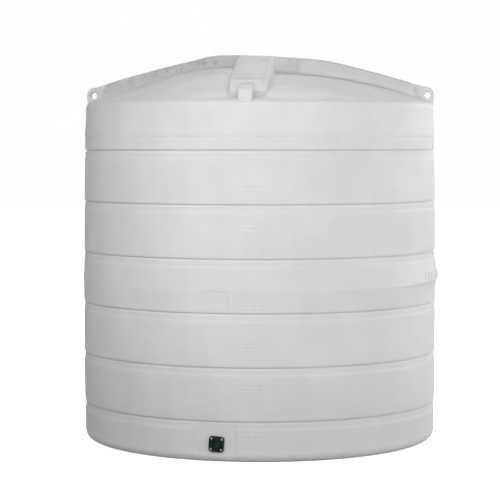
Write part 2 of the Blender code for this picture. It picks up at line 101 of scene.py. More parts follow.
class TankColours(bpy.types.PropertyGroup):
    """Colours of the tank's finishes."""

    white: FloatVectorProperty(
        name="Polyethylene", description="Natural white wall", default=(0.80, 0.80, 0.80), subtype="COLOR", size=3)
    # The dust colour also tints the painted shade low on the wall and on the ribs' bodies.
    dust: FloatVectorProperty(
        name="Dust", description="Dust and handling marks", default=(0.46, 0.455, 0.45), subtype="COLOR", size=3)
    black: FloatVectorProperty(
        name="Fitting", description="Black outlet flange", default=(0.006, 0.009, 0.008), subtype="COLOR", size=3)
    green: FloatVectorProperty(
        name="Plug", description="Dark green outlet plug", default=(0.005, 0.028, 0.017), subtype="COLOR", size=3)
    rubber: FloatVectorProperty(
        name="Gasket", description="Black gasket rubber", default=(0.02, 0.02, 0.02), subtype="COLOR", size=3)
    steel: FloatVectorProperty(
        name="Bolts", description="Stainless bolt steel", default=(0.62, 0.62, 0.60), subtype="COLOR", size=3)


class TankStage(bpy.types.PropertyGroup):
    """Where the camera stands."""

    azimuth: FloatProperty(
        name="Camera azimuth", description="Side that the camera stands on",
        default=math.radians(4.45), subtype="ANGLE")
    distance: FloatProperty(
        name="Camera distance", description="From the tank's axis", default=16.05, unit="LENGTH")
    height: FloatProperty(
        name="Camera height", description="Above the base", default=2.52, unit="LENGTH")
    pitch: FloatProperty(
        name="Camera pitch", description="Downwards is negative", default=math.radians(-3.213), subtype="ANGLE")
    turn: FloatProperty(
        name="Camera turn", description="Turned left of the axis", default=math.radians(0.30), subtype="ANGLE")
    lens: FloatProperty(
        name="Lens", description="Focal length in millimetres", default=132.43)


def sizes():
    """The sizes set in the scene."""
    return bpy.context.scene.tank_sizes


def colours():
    """The colours set in the scene."""
    return bpy.context.scene.tank_colours


# Places

def outward(azimuth):
    """The horizontal direction at an azimuth in degrees."""
    turn = math.radians(azimuth)
    return Vector((math.sin(turn), -math.cos(turn), 0.0))


def frame_at(azimuth, radius=0.0, height=0.0, roll=0.0):
    """A frame whose +X points outwards at the azimuth, with +Z up, turned about +X by roll."""
    place = outward(azimuth) * radius
    place.z = height
    turn = Matrix.Rotation(math.radians(azimuth - 90.0), 4, "Z")
    return Matrix.Translation(place) @ turn @ Matrix.Rotation(math.radians(roll), 4, "X")


def azimuth_of(place):
    """The azimuth of a place, in degrees."""
    return math.degrees(math.atan2(place.x, -place.y))


def smooth_step(value, low, high):
    """0 below low, 1 above high, and a smooth rise between them."""
    share = min(1.0, max(0.0, (value - low) / (high - low)))
    return share * share * (3.0 - 2.0 * share)


def roof_height(radius):
    """Height of the domed roof's outer face."""
    return ROOF_TOP - ROOF_FALL * radius * radius


def rib_height(radius):
    """Height of a rib's top face, curved near the crown and almost straight near the eave."""
    return RIB_TOP - RIB_FALL * (math.hypot(radius, RIB_ROUND) - RIB_ROUND)


def roof_swell(x, y):
    """How far the moulded dome strays from its true curve: higher at the left of the crown."""
    left = smooth_step(-x, -0.35, 0.35)
    return (0.056 * left - 0.010) * (1.0 - smooth_step(math.hypot(x, y), 0.40, 1.30))


def cross_height(x, radius):
    """Height of the crown's and the ribs' top face, flat and leaning a little at the crown."""
    rib = rib_height(radius)
    level = (rib + CROWN_TOP - math.hypot(rib - CROWN_TOP, 0.004)) / 2
    return level - CROWN_LEAN * x * (1.0 - smooth_step(radius, 0.36, 0.60))


def wall_radius(height):
    """Radius of the plain wall at a height."""
    for (low, low_radius), (high, high_radius) in zip(WALL_STATIONS, WALL_STATIONS[1:]):
        if height <= high:
            share = (height - low) / (high - low)
            return low_radius + (high_radius - low_radius) * max(0.0, share)
    return WALL_STATIONS[-1][1]


# Modelling by hand, in edit mode

def deselect_all():
    """Leaves nothing selected."""
    bpy.ops.object.select_all(action="DESELECT")


def named(name):
    """Names the primitive that was just added, and opens it in edit mode."""
    piece = bpy.context.view_layer.objects.active
    piece.name = name
    bpy.ops.object.mode_set(mode="EDIT")
    bpy.ops.mesh.select_all(action="SELECT")
    return piece


def edit(piece):
    """Opens a piece in edit mode, alone."""
    deselect_all()
    piece.select_set(True)
    bpy.context.view_layer.objects.active = piece
    bpy.ops.object.mode_set(mode="EDIT")


def leave_edit():
    """Back to object mode."""
    bpy.ops.object.mode_set(mode="OBJECT")


def pick(piece, kind, test, needed=True):
    """Selects the VERT, EDGE or FACE items that pass a test, and nothing else."""
    bpy.ops.mesh.select_mode(type=kind)
    bpy.ops.mesh.select_all(action="DESELECT")
    shape = bmesh.from_edit_mesh(piece.data)
    items = {"VERT": shape.verts, "EDGE": shape.edges, "FACE": shape.faces}[kind]
    chosen = [item for item in items if test(item)]
    for item in chosen:
        item.select_set(True)
    shape.select_flush_mode()
    bmesh.update_edit_mesh(piece.data)
    if needed and not chosen:
        raise RuntimeError(f"nothing to select on {piece.name}")
    return len(chosen)


def settle(piece):
    """Puts a piece's place, turn and scale in its mesh."""
    deselect_all()
    piece.select_set(True)
    bpy.context.view_layer.objects.active = piece
    bpy.ops.object.transform_apply(location=True, rotation=True, scale=True)


def apply_modifier(piece, modifier):
    """Applies one modifier."""
    deselect_all()
    piece.select_set(True)
    bpy.context.view_layer.objects.active = piece
    bpy.ops.object.modifier_apply(modifier=modifier.name)


def round_edges(piece, width, segments, angle=40.0):
    """Rounds every edge sharper than the angle."""
    bevel = piece.modifiers.new("Round", "BEVEL")
    bevel.width = width
    bevel.segments = segments
    bevel.limit_method = "ANGLE"
    bevel.angle_limit = math.radians(angle)
    bevel.harden_normals = False
    apply_modifier(piece, bevel)


def cut(piece, cutters, operation="DIFFERENCE"):
    """Cuts a piece with each cutter, and removes the cutters."""
    for cutter in cutters:
        boolean = piece.modifiers.new("Cut", "BOOLEAN")
        boolean.object = cutter
        boolean.operation = operation
        boolean.solver = "EXACT"
        apply_modifier(piece, boolean)
        bpy.data.objects.remove(cutter, do_unlink=True)


def tidy_shell(piece, distance=0.00005):
    """Merges doubles and turns the faces outwards, in edit mode."""
    bpy.ops.mesh.select_all(action="SELECT")
    bpy.ops.mesh.remove_doubles(threshold=distance)
    bpy.ops.mesh.normals_make_consistent(inside=False)


def finish_piece(piece, material, nodes=(), angle=32.0):
    """Shades a piece, gives it its material and hands it to the frame."""
    settle(piece)
    bpy.ops.object.shade_smooth_by_angle(angle=math.radians(angle))
    piece.data.materials.clear()
    piece.data.materials.append(material)
    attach(piece, "root")
    if nodes:
        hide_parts(*nodes)
    return piece


def turned_shell(name, outline, segments, closed=True):
    """A ring extruded from one (radius, height) of its outline to the next."""
    radius, height = outline[0]
    deselect_all()
    bpy.ops.mesh.primitive_circle_add(vertices=segments, radius=radius, location=(0.0, 0.0, height))
    piece = named(name)
    for next_radius, next_height in outline[1:] + outline[:1] * closed:
        lift = (0.0, 0.0, next_height - height)
        bpy.ops.mesh.extrude_edges_move(TRANSFORM_OT_translate={"value": lift})
        share = next_radius / radius
        bpy.ops.transform.resize(value=(share, share, 1.0), center_override=(0.0, 0.0, next_height))
        radius, height = next_radius, next_height
    if closed:
        tidy_shell(piece)
    leave_edit()
    settle(piece)
    return piece


def arc(centre, radius, start, end, steps):
    """Points of an arc, with its angles in degrees."""
    points = []
    for index in range(steps + 1):
        angle = math.radians(start + (end - start) * index / steps)
        points.append((centre[0] + radius * math.cos(angle), centre[1] + radius * math.sin(angle)))
    return points


def between(start, end, steps):
    """Evenly spaced values after start, up to and including end."""
    return [start + (end - start) * index / steps for index in range(1, steps + 1)]


# Low waves, as moulded walls have them

def wave_at(place, size, seed):
    """A smooth wave from -1 to 1."""
    return noise.noise(place / size + Vector((seed, 2.0 * seed, -seed)))


def wave_wall(piece):
    """Moves the wall in and out a little, the same for neighbours at their joint."""
    amount = sizes().wave
    for vertex in piece.data.vertices:
        flat = Vector((vertex.co.x, vertex.co.y, 0.0))
        direction = flat.normalized()
        place = direction * 1.5 + Vector((0.0, 0.0, vertex.co.z * 1.4))
        push = wave_at(place, 0.62, 3.1) + 0.35 * wave_at(place, 0.21, 7.7)
        push *= amount * (1.0 - smooth_step(vertex.co.z, 2.74, 2.85))
        push *= smooth_step(vertex.co.z, 0.0, 0.08)
        vertex.co += direction * push


def wave_roof(piece):
    """Moves the roof up and down a little, and not at the eave."""
    for vertex in piece.data.vertices:
        radius = math.hypot(vertex.co.x, vertex.co.y)
        place = Vector((vertex.co.x, vertex.co.y, 0.0))
        push = wave_at(place, 0.38, 5.3) + 0.3 * wave_at(place, 0.13, 1.9)
        vertex.co.z += push * 0.0022 * (1.0 - smooth_step(radius, 1.34, 1.43))


def swell_roof(piece):
    """Lays a roof panel on the moulded dome."""
    for vertex in piece.data.vertices:
        vertex.co.z += roof_swell(vertex.co.x, vertex.co.y)


# Finishes

def node(tree, kind, values=None, **settings):
    """Adds a shader node, with its inputs set or linked."""
    made = tree.nodes.new("ShaderNode" + kind)
    for key, value in settings.items():
        setattr(made, key, value)
    for key, value in (values or {}).items():
        if isinstance(value, bpy.types.NodeSocket):
            tree.links.new(value, made.inputs[key])
        else:
            made.inputs[key].default_value = value
    return made


def mixed(tree, factor, first, second):
    """A mix of two colours."""
    mix = node(tree, "Mix", {"Factor": factor}, data_type="RGBA")
    for index, value in ((6, first), (7, second)):
        if isinstance(value, bpy.types.NodeSocket):
            tree.links.new(value, mix.inputs[index])
        else:
            mix.inputs[index].default_value = (*value, 1.0) if len(value) == 3 else value
    return mix.outputs[2]


def calc(tree, operation, first, second=0.0):
    """One sum of two values."""
    return node(tree, "Math", {0: first, 1: second}, operation=operation).outputs[0]


def ranged(tree, value, low, high, to_low=0.0, to_high=1.0):
    """A value mapped from one range to another, without overshoot."""
    made = node(tree, "MapRange", {"Value": value}, interpolation_type="SMOOTHSTEP")
    for key, number in (("From Min", low), ("From Max", high), ("To Min", to_low), ("To Max", to_high)):
        if isinstance(number, bpy.types.NodeSocket):
            tree.links.new(number, made.inputs[key])
        else:
            made.inputs[key].default_value = number
    return made.outputs[0]


def new_group(name, inputs, outputs):
    """A shader node group with named inputs and outputs."""
    group = bpy.data.node_groups.new(name, "ShaderNodeTree")
    for label, kind, default in inputs:
        socket = group.interface.new_socket(label, in_out="INPUT", socket_type="NodeSocket" + kind)
        if default is not None:
            socket.default_value = default
    for label, kind in outputs:
        group.interface.new_socket(label, in_out="OUTPUT", socket_type="NodeSocket" + kind)
    start = group.nodes.new("NodeGroupInput")
    end = group.nodes.new("NodeGroupOutput")
    return group, start, end


def skin_group():
    """Orange peel of a moulded skin: fine grain over shallow dimples."""
    group, start, end = new_group(
        "Moulded skin",
        [("Vector", "Vector", None), ("Grain scale", "Float", 380.0), ("Dimple scale", "Float", 46.0)],
        [("Height", "Float")],
    )
    vector = start.outputs["Vector"]
    grain = node(group, "TexNoise", {"Vector": vector, "Scale": start.outputs["Grain scale"], "Detail": 2.0})
    dimple = node(group, "TexNoise", {"Vector": vector, "Scale": start.outputs["Dimple scale"], "Detail": 1.0})
    low = calc(group, "MULTIPLY", dimple.outputs["Fac"], 1.8)
    total = calc(group, "ADD", low, calc(group, "MULTIPLY", grain.outputs["Fac"], 0.35))
    group.links.new(total, end.inputs["Height"])
    return group


def blotch_group():
    """Large soft blotches, from 0 to 1."""
    group, start, end = new_group(
        "Soft blotches",
        [("Vector", "Vector", None), ("Scale", "Float", 2.2), ("Contrast", "Float", 0.18)],
        [("Value", "Float")],
    )
    cloud = node(group, "TexNoise", {
        "Vector": start.outputs["Vector"], "Scale": start.outputs["Scale"], "Detail": 4.0, "Roughness": 0.55})
    low = calc(group, "SUBTRACT", 0.5, start.outputs["Contrast"])
    high = calc(group, "ADD", 0.5, start.outputs["Contrast"])
    group.links.new(ranged(group, cloud.outputs["Fac"], low, high), end.inputs["Value"])
    return group


def run_group():
    """Upright run marks that rain and dust leave, from 0 to 1."""
    group, start, end = new_group(
        "Run marks",
        [("Vector", "Vector", None), ("Width scale", "Float", 11.0), ("Length scale", "Float", 0.55)],
        [("Value", "Float")],
    )
    split = node(group, "SeparateXYZ", {0: start.outputs["Vector"]})
    wide = start.outputs["Width scale"]
    scaled = [calc(group, "MULTIPLY", split.outputs[axis], wide) for axis in (0, 1)]
    scaled.append(calc(group, "MULTIPLY", split.outputs[2], start.outputs["Length scale"]))
    vector = node(group, "CombineXYZ", dict(enumerate(scaled))).outputs[0]
    streak = node(group, "TexNoise", {"Vector": vector, "Scale": 1.0, "Detail": 5.0, "Roughness": 0.62})
    group.links.new(ranged(group, streak.outputs["Fac"], 0.46, 0.72), end.inputs["Value"])
    return group


def scuff_group():
    """Sparse rubbed spots and short scratches, from 0 to 1."""
    group, start, end = new_group(
        "Scuffs",
        [("Vector", "Vector", None), ("Scale", "Float", 9.0), ("Cover", "Float", 0.62)],
        [("Value", "Float")],
    )
    vector, scale = start.outputs["Vector"], start.outputs["Scale"]
    patch = node(group, "TexNoise", {"Vector": vector, "Scale": scale, "Detail": 6.0, "Roughness": 0.7})
    rub = ranged(group, patch.outputs["Fac"], start.outputs["Cover"], calc(group, "ADD", start.outputs["Cover"], 0.1))
    fine = node(group, "TexNoise", {
        "Vector": vector, "Scale": calc(group, "MULTIPLY", scale, 9.0), "Detail": 3.0, "Distortion": 1.6})
    speck = ranged(group, fine.outputs["Fac"], 0.60, 0.70)
    total = calc(group, "ADD", calc(group, "MULTIPLY", rub, 0.7), calc(group, "MULTIPLY", speck, 0.35))
    group.links.new(calc(group, "MINIMUM", total, 1.0), end.inputs["Value"])
    return group


def effect(name):
    """The shared node group of that name, made the first time it is asked for."""
    makers = {
        "Moulded skin": skin_group, "Soft blotches": blotch_group,
        "Run marks": run_group, "Scuffs": scuff_group,
    }
    return bpy.data.node_groups.get(name) or makers[name]()


def place_effect(tree, name, vector, output=0, **values):
    """Puts a shared effect in a material, with its own values."""
    made = tree.nodes.new("ShaderNodeGroup")
    made.node_tree = effect(name)
    tree.links.new(vector, made.inputs["Vector"])
    for key, value in values.items():
        made.inputs[key.replace("_", " ").capitalize()].default_value = value
    return made.outputs[output]


def start_material(name):
    """A material with its shader, and the piece's own coordinates."""
    material = bpy.data.materials.new(name)
    material.use_nodes = True
    tree = material.node_tree
    vector = tree.nodes.new("ShaderNodeTexCoord").outputs["Object"]
    return material, tree, tree.nodes["Principled BSDF"], vector


def bump(tree, shader, height, distance, strength=1.0):
    """Feeds a height to the shader as a bump."""
    made = node(tree, "Bump", {"Height": height, "Distance": distance, "Strength": strength})
    tree.links.new(made.outputs[0], shader.inputs["Normal"])


def left_rib_painted_shade(tree, vector):
    """Painted shade, patchy, on the front side of the left rib and lug, from 0 to 1."""
    across = node(tree, "SeparateXYZ", {0: vector}).outputs[0]
    normal = tree.nodes.new("ShaderNodeTexCoord").outputs["Normal"]
    facing = node(tree, "SeparateXYZ", {0: normal}).outputs[1]
    patch = node(tree, "TexNoise", {"Vector": vector, "Scale": 13.0, "Detail": 7.0, "Roughness": 0.70}).outputs["Fac"]
    mask = calc(tree, "MULTIPLY", ranged(tree, facing, -0.72, -0.97), ranged(tree, across, -0.29, -0.36))
    mask = calc(tree, "MULTIPLY", mask, ranged(tree, across, -1.15, -0.55, 0.65, 1.0))
    return calc(tree, "MULTIPLY", mask, ranged(tree, patch, 0.36, 0.60, 0.35, 1.0))


def low_wall_painted_shade(tree, vector):
    """Painted shade on the foot of the wall, strongest at the left, from 0 to 1."""
    split = node(tree, "SeparateXYZ", {0: vector})
    low = calc(tree, "MULTIPLY", ranged(tree, split.outputs[2], 1.10, 0.15), ranged(tree, split.outputs[2], 0.02, 0.12))
    return calc(tree, "MULTIPLY", low, ranged(tree, split.outputs[0], 0.30, -0.90, 0.66, 0.92))


def roof_darkening_and_rib_shade(tree, vector, high_darkening, dull):
    """Darker high on the roof, and painted shade on the ribs' bodies where they stand above the dome."""
    split = node(tree, "SeparateXYZ", {0: vector})
    squares = [calc(tree, "MULTIPLY", split.outputs[axis], split.outputs[axis]) for axis in (0, 1)]
    fall = calc(tree, "MULTIPLY", calc(tree, "ADD", *squares), ROOF_FALL)
    above = calc(tree, "ADD", calc(tree, "SUBTRACT", split.outputs[2], ROOF_TOP), fall)
    high = ranged(tree, split.outputs[2], 2.92, 3.06, 0.0, high_darkening)
    # The dull share is painted shade on the ribs' bodies.
    return calc(tree, "ADD", high, ranged(tree, above, 0.010, 0.060, 0.0, dull))


def polyethylene(name, dust=0.10, runs=0.12, scuffs=0.10, left_shade=0.0, low_shade=0.0, high_darkening=0.0, dull=0.0):
    """Natural white moulded polyethylene: satin, softly mottled, with a little dust; on request darker high up, with
    painted shade low on the wall, on the ribs' bodies and on the left rib's front side.
    """
    material, tree, shader, vector = start_material(name)
    white = tuple(colours().white)
    shade = tuple(channel * 0.935 for channel in white)
    broad = place_effect(tree, "Soft blotches", vector, scale=1.7, contrast=0.22)
    small = place_effect(tree, "Soft blotches", vector, scale=7.5, contrast=0.16)
    colour = mixed(tree, calc(tree, "MULTIPLY", broad, 0.75), white, shade)
    colour = mixed(tree, calc(tree, "MULTIPLY", small, 0.22), colour, shade)
    # Colour for dust and marks, and also for the painted shade below.
    dust_and_shade_colour = tuple(colours().dust)
    run = place_effect(tree, "Run marks", vector)
    colour = mixed(tree, calc(tree, "MULTIPLY", run, runs), colour, dust_and_shade_colour)
    scuff = place_effect(tree, "Scuffs", vector)
    colour = mixed(tree, calc(tree, "MULTIPLY", scuff, scuffs), colour, dust_and_shade_colour)
    cloud = place_effect(tree, "Soft blotches", vector, scale=3.4, contrast=0.12)
    colour = mixed(tree, calc(tree, "MULTIPLY", cloud, dust), colour, dust_and_shade_colour)
    # Darker high up, and painted shade on the ribs' bodies.
    if high_darkening:
        colour = mixed(tree, roof_darkening_and_rib_shade(tree, vector, high_darkening, dull), colour, dust_and_shade_colour)
    # Painted shade low on the wall, strongest at the left.
    if low_shade:
        colour = mixed(tree, calc(tree, "MULTIPLY", low_wall_painted_shade(tree, vector), low_shade), colour, dust_and_shade_colour)
    # Painted shade: the left rib's and lug's front side darkened towards a flat grey.
    if left_shade:
        colour = mixed(tree, calc(tree, "MULTIPLY", left_rib_painted_shade(tree, vector), left_shade), colour, (0.40, 0.40, 0.40))
    tree.links.new(colour, shader.inputs["Base Color"])
    rough = ranged(tree, broad, 0.0, 1.0, 0.50, 0.61)
    rough = calc(tree, "ADD", rough, calc(tree, "MULTIPLY", scuff, 0.10))
    tree.links.new(rough, shader.inputs["Roughness"])
    shader.inputs["Specular IOR Level"].default_value = 0.32
    bump(tree, shader, place_effect(tree, "Moulded skin", vector), 0.0006, 0.6)
    return material


def black_polypropylene():
    """Black moulded fitting: satin, with fine grain and rubbed dust."""
    material, tree, shader, vector = start_material("black_polypropylene")
    black = tuple(colours().black)
    grey = tuple(channel * 2.5 + 0.004 for channel in black)
    scuff = place_effect(tree, "Scuffs", vector, scale=26.0, cover=0.55)
    cloud = place_effect(tree, "Soft blotches", vector, scale=30.0, contrast=0.15)
    colour = mixed(tree, calc(tree, "MULTIPLY", cloud, 0.6), black, grey)
    colour = mixed(tree, calc(tree, "MULTIPLY", scuff, 0.12), colour, (0.09, 0.09, 0.085))
    tree.links.new(colour, shader.inputs["Base Color"])
    rough = ranged(tree, cloud, 0.0, 1.0, 0.38, 0.54)
    tree.links.new(rough, shader.inputs["Roughness"])
    shader.inputs["Specular IOR Level"].default_value = 0.25
    bump(tree, shader, place_effect(tree, "Moulded skin", vector, grain_scale=900.0, dimple_scale=160.0), 0.0003)
    return material


def green_plug_plastic():
    """Dark green plug: glossier, with fine grain."""
    material, tree, shader, vector = start_material("green_plug_plastic")
    green = tuple(colours().green)
    light = tuple(channel * 1.9 + 0.004 for channel in green)
    cloud = place_effect(tree, "Soft blotches", vector, scale=40.0, contrast=0.14)
    scuff = place_effect(tree, "Scuffs", vector, scale=38.0, cover=0.58)
    colour = mixed(tree, calc(tree, "MULTIPLY", cloud, 0.8), green, light)
    colour = mixed(tree, calc(tree, "MULTIPLY", scuff, 0.1), colour, (0.10, 0.12, 0.11))
    tree.links.new(colour, shader.inputs["Base Color"])
    tree.links.new(ranged(tree, cloud, 0.0, 1.0, 0.34, 0.48), shader.inputs["Roughness"])
    shader.inputs["Specular IOR Level"].default_value = 0.25
    bump(tree, shader, place_effect(tree, "Moulded skin", vector, grain_scale=1100.0, dimple_scale=190.0), 0.0002)
    return material


def gasket_rubber():
    """Matte black gasket rubber."""
    material, tree, shader, vector = start_material("gasket_rubber")
    rubber = tuple(colours().rubber)
    bloom = tuple(channel + 0.03 for channel in rubber)
    cloud = place_effect(tree, "Soft blotches", vector, scale=45.0, contrast=0.18)
    tree.links.new(mixed(tree, cloud, rubber, bloom), shader.inputs["Base Color"])
    tree.links.new(ranged(tree, cloud, 0.0, 1.0, 0.66, 0.84), shader.inputs["Roughness"])
    bump(tree, shader, place_effect(tree, "Moulded skin", vector, grain_scale=1400.0, dimple_scale=300.0), 0.0002)
    return material


def bolt_steel():
    """Stainless bolts: brushed, with dull patches."""
    material, tree, shader, vector = start_material("bolt_steel")
    steel = tuple(colours().steel)
    dull = tuple(channel * 0.72 for channel in steel)
    cloud = place_effect(tree, "Soft blotches", vector, scale=160.0, contrast=0.16)
    tree.links.new(mixed(tree, calc(tree, "MULTIPLY", cloud, 0.6), steel, dull), shader.inputs["Base Color"])
    tree.links.new(ranged(tree, cloud, 0.0, 1.0, 0.22, 0.40), shader.inputs["Roughness"])
    shader.inputs["Metallic"].default_value = 1.0
    bump(tree, shader, place_effect(tree, "Moulded skin", vector, grain_scale=2600.0, dimple_scale=700.0), 0.00008)
    return material


# Wall bands

BAND_SEAT = 0.028
EDGE_ROUND = 0.003
LIP_DROP = 0.014
BASE_FLAT_RADIUS = 1.441
BASE_CORNER_RADIUS = 0.080
FLOOR_THICKNESS = 0.014

# Parting ridge of the mould, which swells out and climbs a little on the right side
RIDGE_HEIGHT = 1.374
RIDGE_DEPTH = 0.006
RIDGE_FOOT = 1.202
SWELL_AZIMUTH = 85.0
SWELL_SPREAD = 60.0
SWELL_DEPTH = 0.020
SWELL_LIFT = 0.016

# Sunk pad round the outlet
PAD_AZIMUTH = -9.15
PAD_WIDTH = 0.345
PAD_RADIUS = 1.5145
PAD_TOP = 0.3185
PAD_EDGE = 0.008
LAND_SIZE = 0.136
LAND_DISTANCE = 1.514
WALL_HOLE_RADIUS = 0.040
OUTLET_AZIMUTH = -8.6
OUTLET_HEIGHT = 0.151
OUTLET_TURN = 4.0

# Blank recess for a plate, and the upright bead beside it
PLATE_AZIMUTHS = (-13.6, -5.17)
PLATE_HEIGHTS = (1.240, 1.374)
PLATE_DEPTH = 0.005
PLATE_EDGE = 0.003
BEAD_AZIMUTHS = (-5.0, -4.0)

# Blank level marks pressed into the front: (height, depth)
MARK_AZIMUTHS = ((-0.8, 3.3), (3.7, 5.4))
MARK_ROWS = (-0.018, 0.018)
MARK_ROW_HEIGHT = 0.012
MARK_EDGE = 0.003
MARKS = [
    (0.225, 0.0012), (0.602, 0.0032), (0.934, 0.0022), (1.236, 0.0018),
    (1.680, 0.0008), (1.885, 0.0009), (2.180, 0.0011), (2.398, 0.0007),
]


def ridge_place(azimuth, height):
    """How far the wall stands out and is lifted at a place in the ridge's band."""
    top = plain_top(GROOVES[3])
    low = min(1.0, max(0.0, (height - RIDGE_FOOT) / (RIDGE_HEIGHT - RIDGE_FOOT)))
    high = min(1.0, max(0.0, (top - height) / (top - RIDGE_HEIGHT)))
    away = abs((azimuth - SWELL_AZIMUTH + 180.0) % 360.0 - 180.0)
    depth = RIDGE_DEPTH + SWELL_DEPTH * math.exp(-(away / SWELL_SPREAD) ** 2)
    steep = 1.0 - smooth_step(away, 5.0, 40.0)
    under = 0.45 * smooth_step(height, 1.300, 1.356) + 0.55 * smooth_step(height, 1.356, RIDGE_HEIGHT)
    share = high if height > RIDGE_HEIGHT else low + (under - low) * steep
    return depth * share, SWELL_LIFT * steep * min(low, high)


def top_points(top):
    """Outer side under a groove, from the lip up: the lip, the sunk strip and the groove."""
    s = sizes()
    radius = wall_radius(top)
    foot = top - s.groove_height
    strip_foot = foot - s.strip_height
    depth = s.strip_depth * (1.0 - 0.2 * top)
    strip = radius - depth
    lip = [(radius, strip_foot - LIP_DROP), (radius - 0.2 * depth, strip_foot - 0.010)]
    lip += [(strip + 0.2 * depth, strip_foot - 0.001), (strip, strip_foot + 0.004)]
    rows = [(strip, height) for height in between(strip_foot + 0.004, foot - EDGE_ROUND, 3)]
    edge = arc((strip - EDGE_ROUND, foot - EDGE_ROUND), EDGE_ROUND, 0.0, 90.0, 3)[1:]
    floor = radius - s.groove_depth
    inside = [(floor + 0.002, foot), (floor, foot + 0.002), (floor, top), (radius - BAND_SEAT, top)]
    return lip + rows + edge + inside


def wall_rows(bottom, top, steps):
    """Points up the plain wall."""
    return [(wall_radius(height), height) for height in between(bottom, top, steps)]


def plain_top(top):
    """Where a band's plain wall ends, under its lip."""
    s = sizes()
    return top - s.groove_height - s.strip_height - LIP_DROP


def middle_outline(bottom, top):
    """Outline of a band between two grooves, from its inner foot up its outer side."""
    radius = wall_radius(bottom)
    foot = arc((radius - EDGE_ROUND, bottom + EDGE_ROUND), EDGE_ROUND, -90.0, 0.0, 3)
    rows = wall_rows(bottom + EDGE_ROUND, plain_top(top), 14)[:-1]
    return [(radius - BAND_SEAT, bottom)] + foot + rows + top_points(top)


def base_outline(top):
    """Outline of the lowest band, with its rounded foot."""
    centre = wall_radius(0.1) - BASE_CORNER_RADIUS
    foot = arc((centre, BASE_CORNER_RADIUS), BASE_CORNER_RADIUS, -90.0, 0.0, 10)
    rows = wall_rows(BASE_CORNER_RADIUS, plain_top(top), 8)[:-1]
    inside = [(wall_radius(top) - BAND_SEAT, BASE_CORNER_RADIUS), (centre, 2 * FLOOR_THICKNESS)]
    points = [(BASE_FLAT_RADIUS, FLOOR_THICKNESS), (BASE_FLAT_RADIUS, 0.0)]
    return points + foot + rows + top_points(top) + inside


def ridge_outline(bottom, top):
    """Outline of the band with the parting ridge, with more points near the ridge."""
    radius = wall_radius(bottom)
    foot = arc((radius - EDGE_ROUND, bottom + EDGE_ROUND), EDGE_ROUND, -90.0, 0.0, 3)
    low = bottom + EDGE_ROUND
    heights = between(low, PLATE_HEIGHTS[0], 3)
    heights += between(PLATE_HEIGHTS[0], RIDGE_HEIGHT - 0.018, 8)
    heights += [RIDGE_HEIGHT + step for step in (-0.012, -0.006, -0.002, 0.0, 0.002, 0.006, 0.012)]
    heights += between(RIDGE_HEIGHT + 0.012, plain_top(top), 9)[:-1]
    rows = [(wall_radius(height), height) for height in heights]
    return [(radius - BAND_SEAT, bottom)] + foot + rows + top_points(top)


def shoulder_outline(bottom):
    """Outline of the top band: collar, fine line, taper and the big round of the eave."""
    collar = 1.5135
    foot = arc((collar - EDGE_ROUND, bottom + EDGE_ROUND), EDGE_ROUND, -90.0, 0.0, 3)
    rows = []
    for height in between(bottom + EDGE_ROUND, 2.582, 8):
        rows.append((collar + 0.0002 * math.sin((height - bottom) * math.tau / 0.030), height))
    rows += [(collar, 2.586), (collar - 0.0012, 2.590), (collar - 0.0012, 2.595), (collar + 0.0003, 2.600)]
    rows += [(1.5155, 2.620), (1.5145, 2.645), (1.511, 2.690), (1.508, 2.730), (1.5065, 2.765)]
    rows += [(1.5056, 2.790), (1.5053, 2.812), (1.5059, 2.832), (1.506, 2.848)]
    start, end = Vector((1.506, 2.848)), Vector((1.445, roof_height(1.445)))
    middle = Vector((1.503, 2.8965))
    for step in range(1, 11):
        share = step / 10
        place = start * (1 - share) ** 2 + middle * 2 * share * (1 - share) + end * share ** 2
        rows.append((place.x, place.y))
    inside = [(1.445, 2.860), (1.473, 2.800), (collar - BAND_SEAT, 2.700)]
    return [(collar - BAND_SEAT, bottom)] + foot + rows + inside


def outer_face(face, azimuths, heights):
    """True for a face of the outer wall between two azimuths and two heights."""
    centre = face.calc_center_median()
    if not heights[0] < centre.z < heights[1]:
        return False
    if not azimuths[0] < azimuth_of(centre) < azimuths[1]:
        return False
    return math.hypot(centre.x, centre.y) > wall_radius(centre.z) - 0.02


def bisect_upright(piece, azimuth, offset, azimuths, heights):
    """Cuts an upright line in the outer wall, at an offset beside the plane at the azimuth."""
    pick(piece, "FACE", lambda face: outer_face(face, azimuths, heights))
    side = outward(azimuth + 90.0)
    bpy.ops.mesh.bisect(plane_co=side * offset, plane_no=side)


def sink_pad(piece):
    """Sinks the pad round the outlet, and cuts its flat land and the outlet's hole."""
    half = PAD_WIDTH / 2
    zone = ((-22.0, 4.0), (0.012, PAD_TOP))
    edit(piece)
    for offset in (-half - PAD_EDGE, -half, half, half + PAD_EDGE):
        bisect_upright(piece, PAD_AZIMUTH, offset, *zone)
    leave_edit()
    side = outward(PAD_AZIMUTH + 90.0)
    for vertex in piece.data.vertices:
        radius = math.hypot(vertex.co.x, vertex.co.y)
        near = vertex.co.dot(outward(PAD_AZIMUTH)) > 1.0
        if near and abs(vertex.co.dot(side)) < half + 0.0001 and vertex.co.z < PAD_TOP and radius > PAD_RADIUS:
            vertex.co.x *= PAD_RADIUS / radius
            vertex.co.y *= PAD_RADIUS / radius
    place = frame_at(OUTLET_AZIMUTH, LAND_DISTANCE, OUTLET_HEIGHT, -OUTLET_TURN)
    land = box_cutter("land_cut", place, (0.0, 0.1), LAND_SIZE, LAND_SIZE)
    hole = round_cutter("hole_cut", place, (-0.1, 0.1), WALL_HOLE_RADIUS, 48)
    cut(piece, [land, hole])


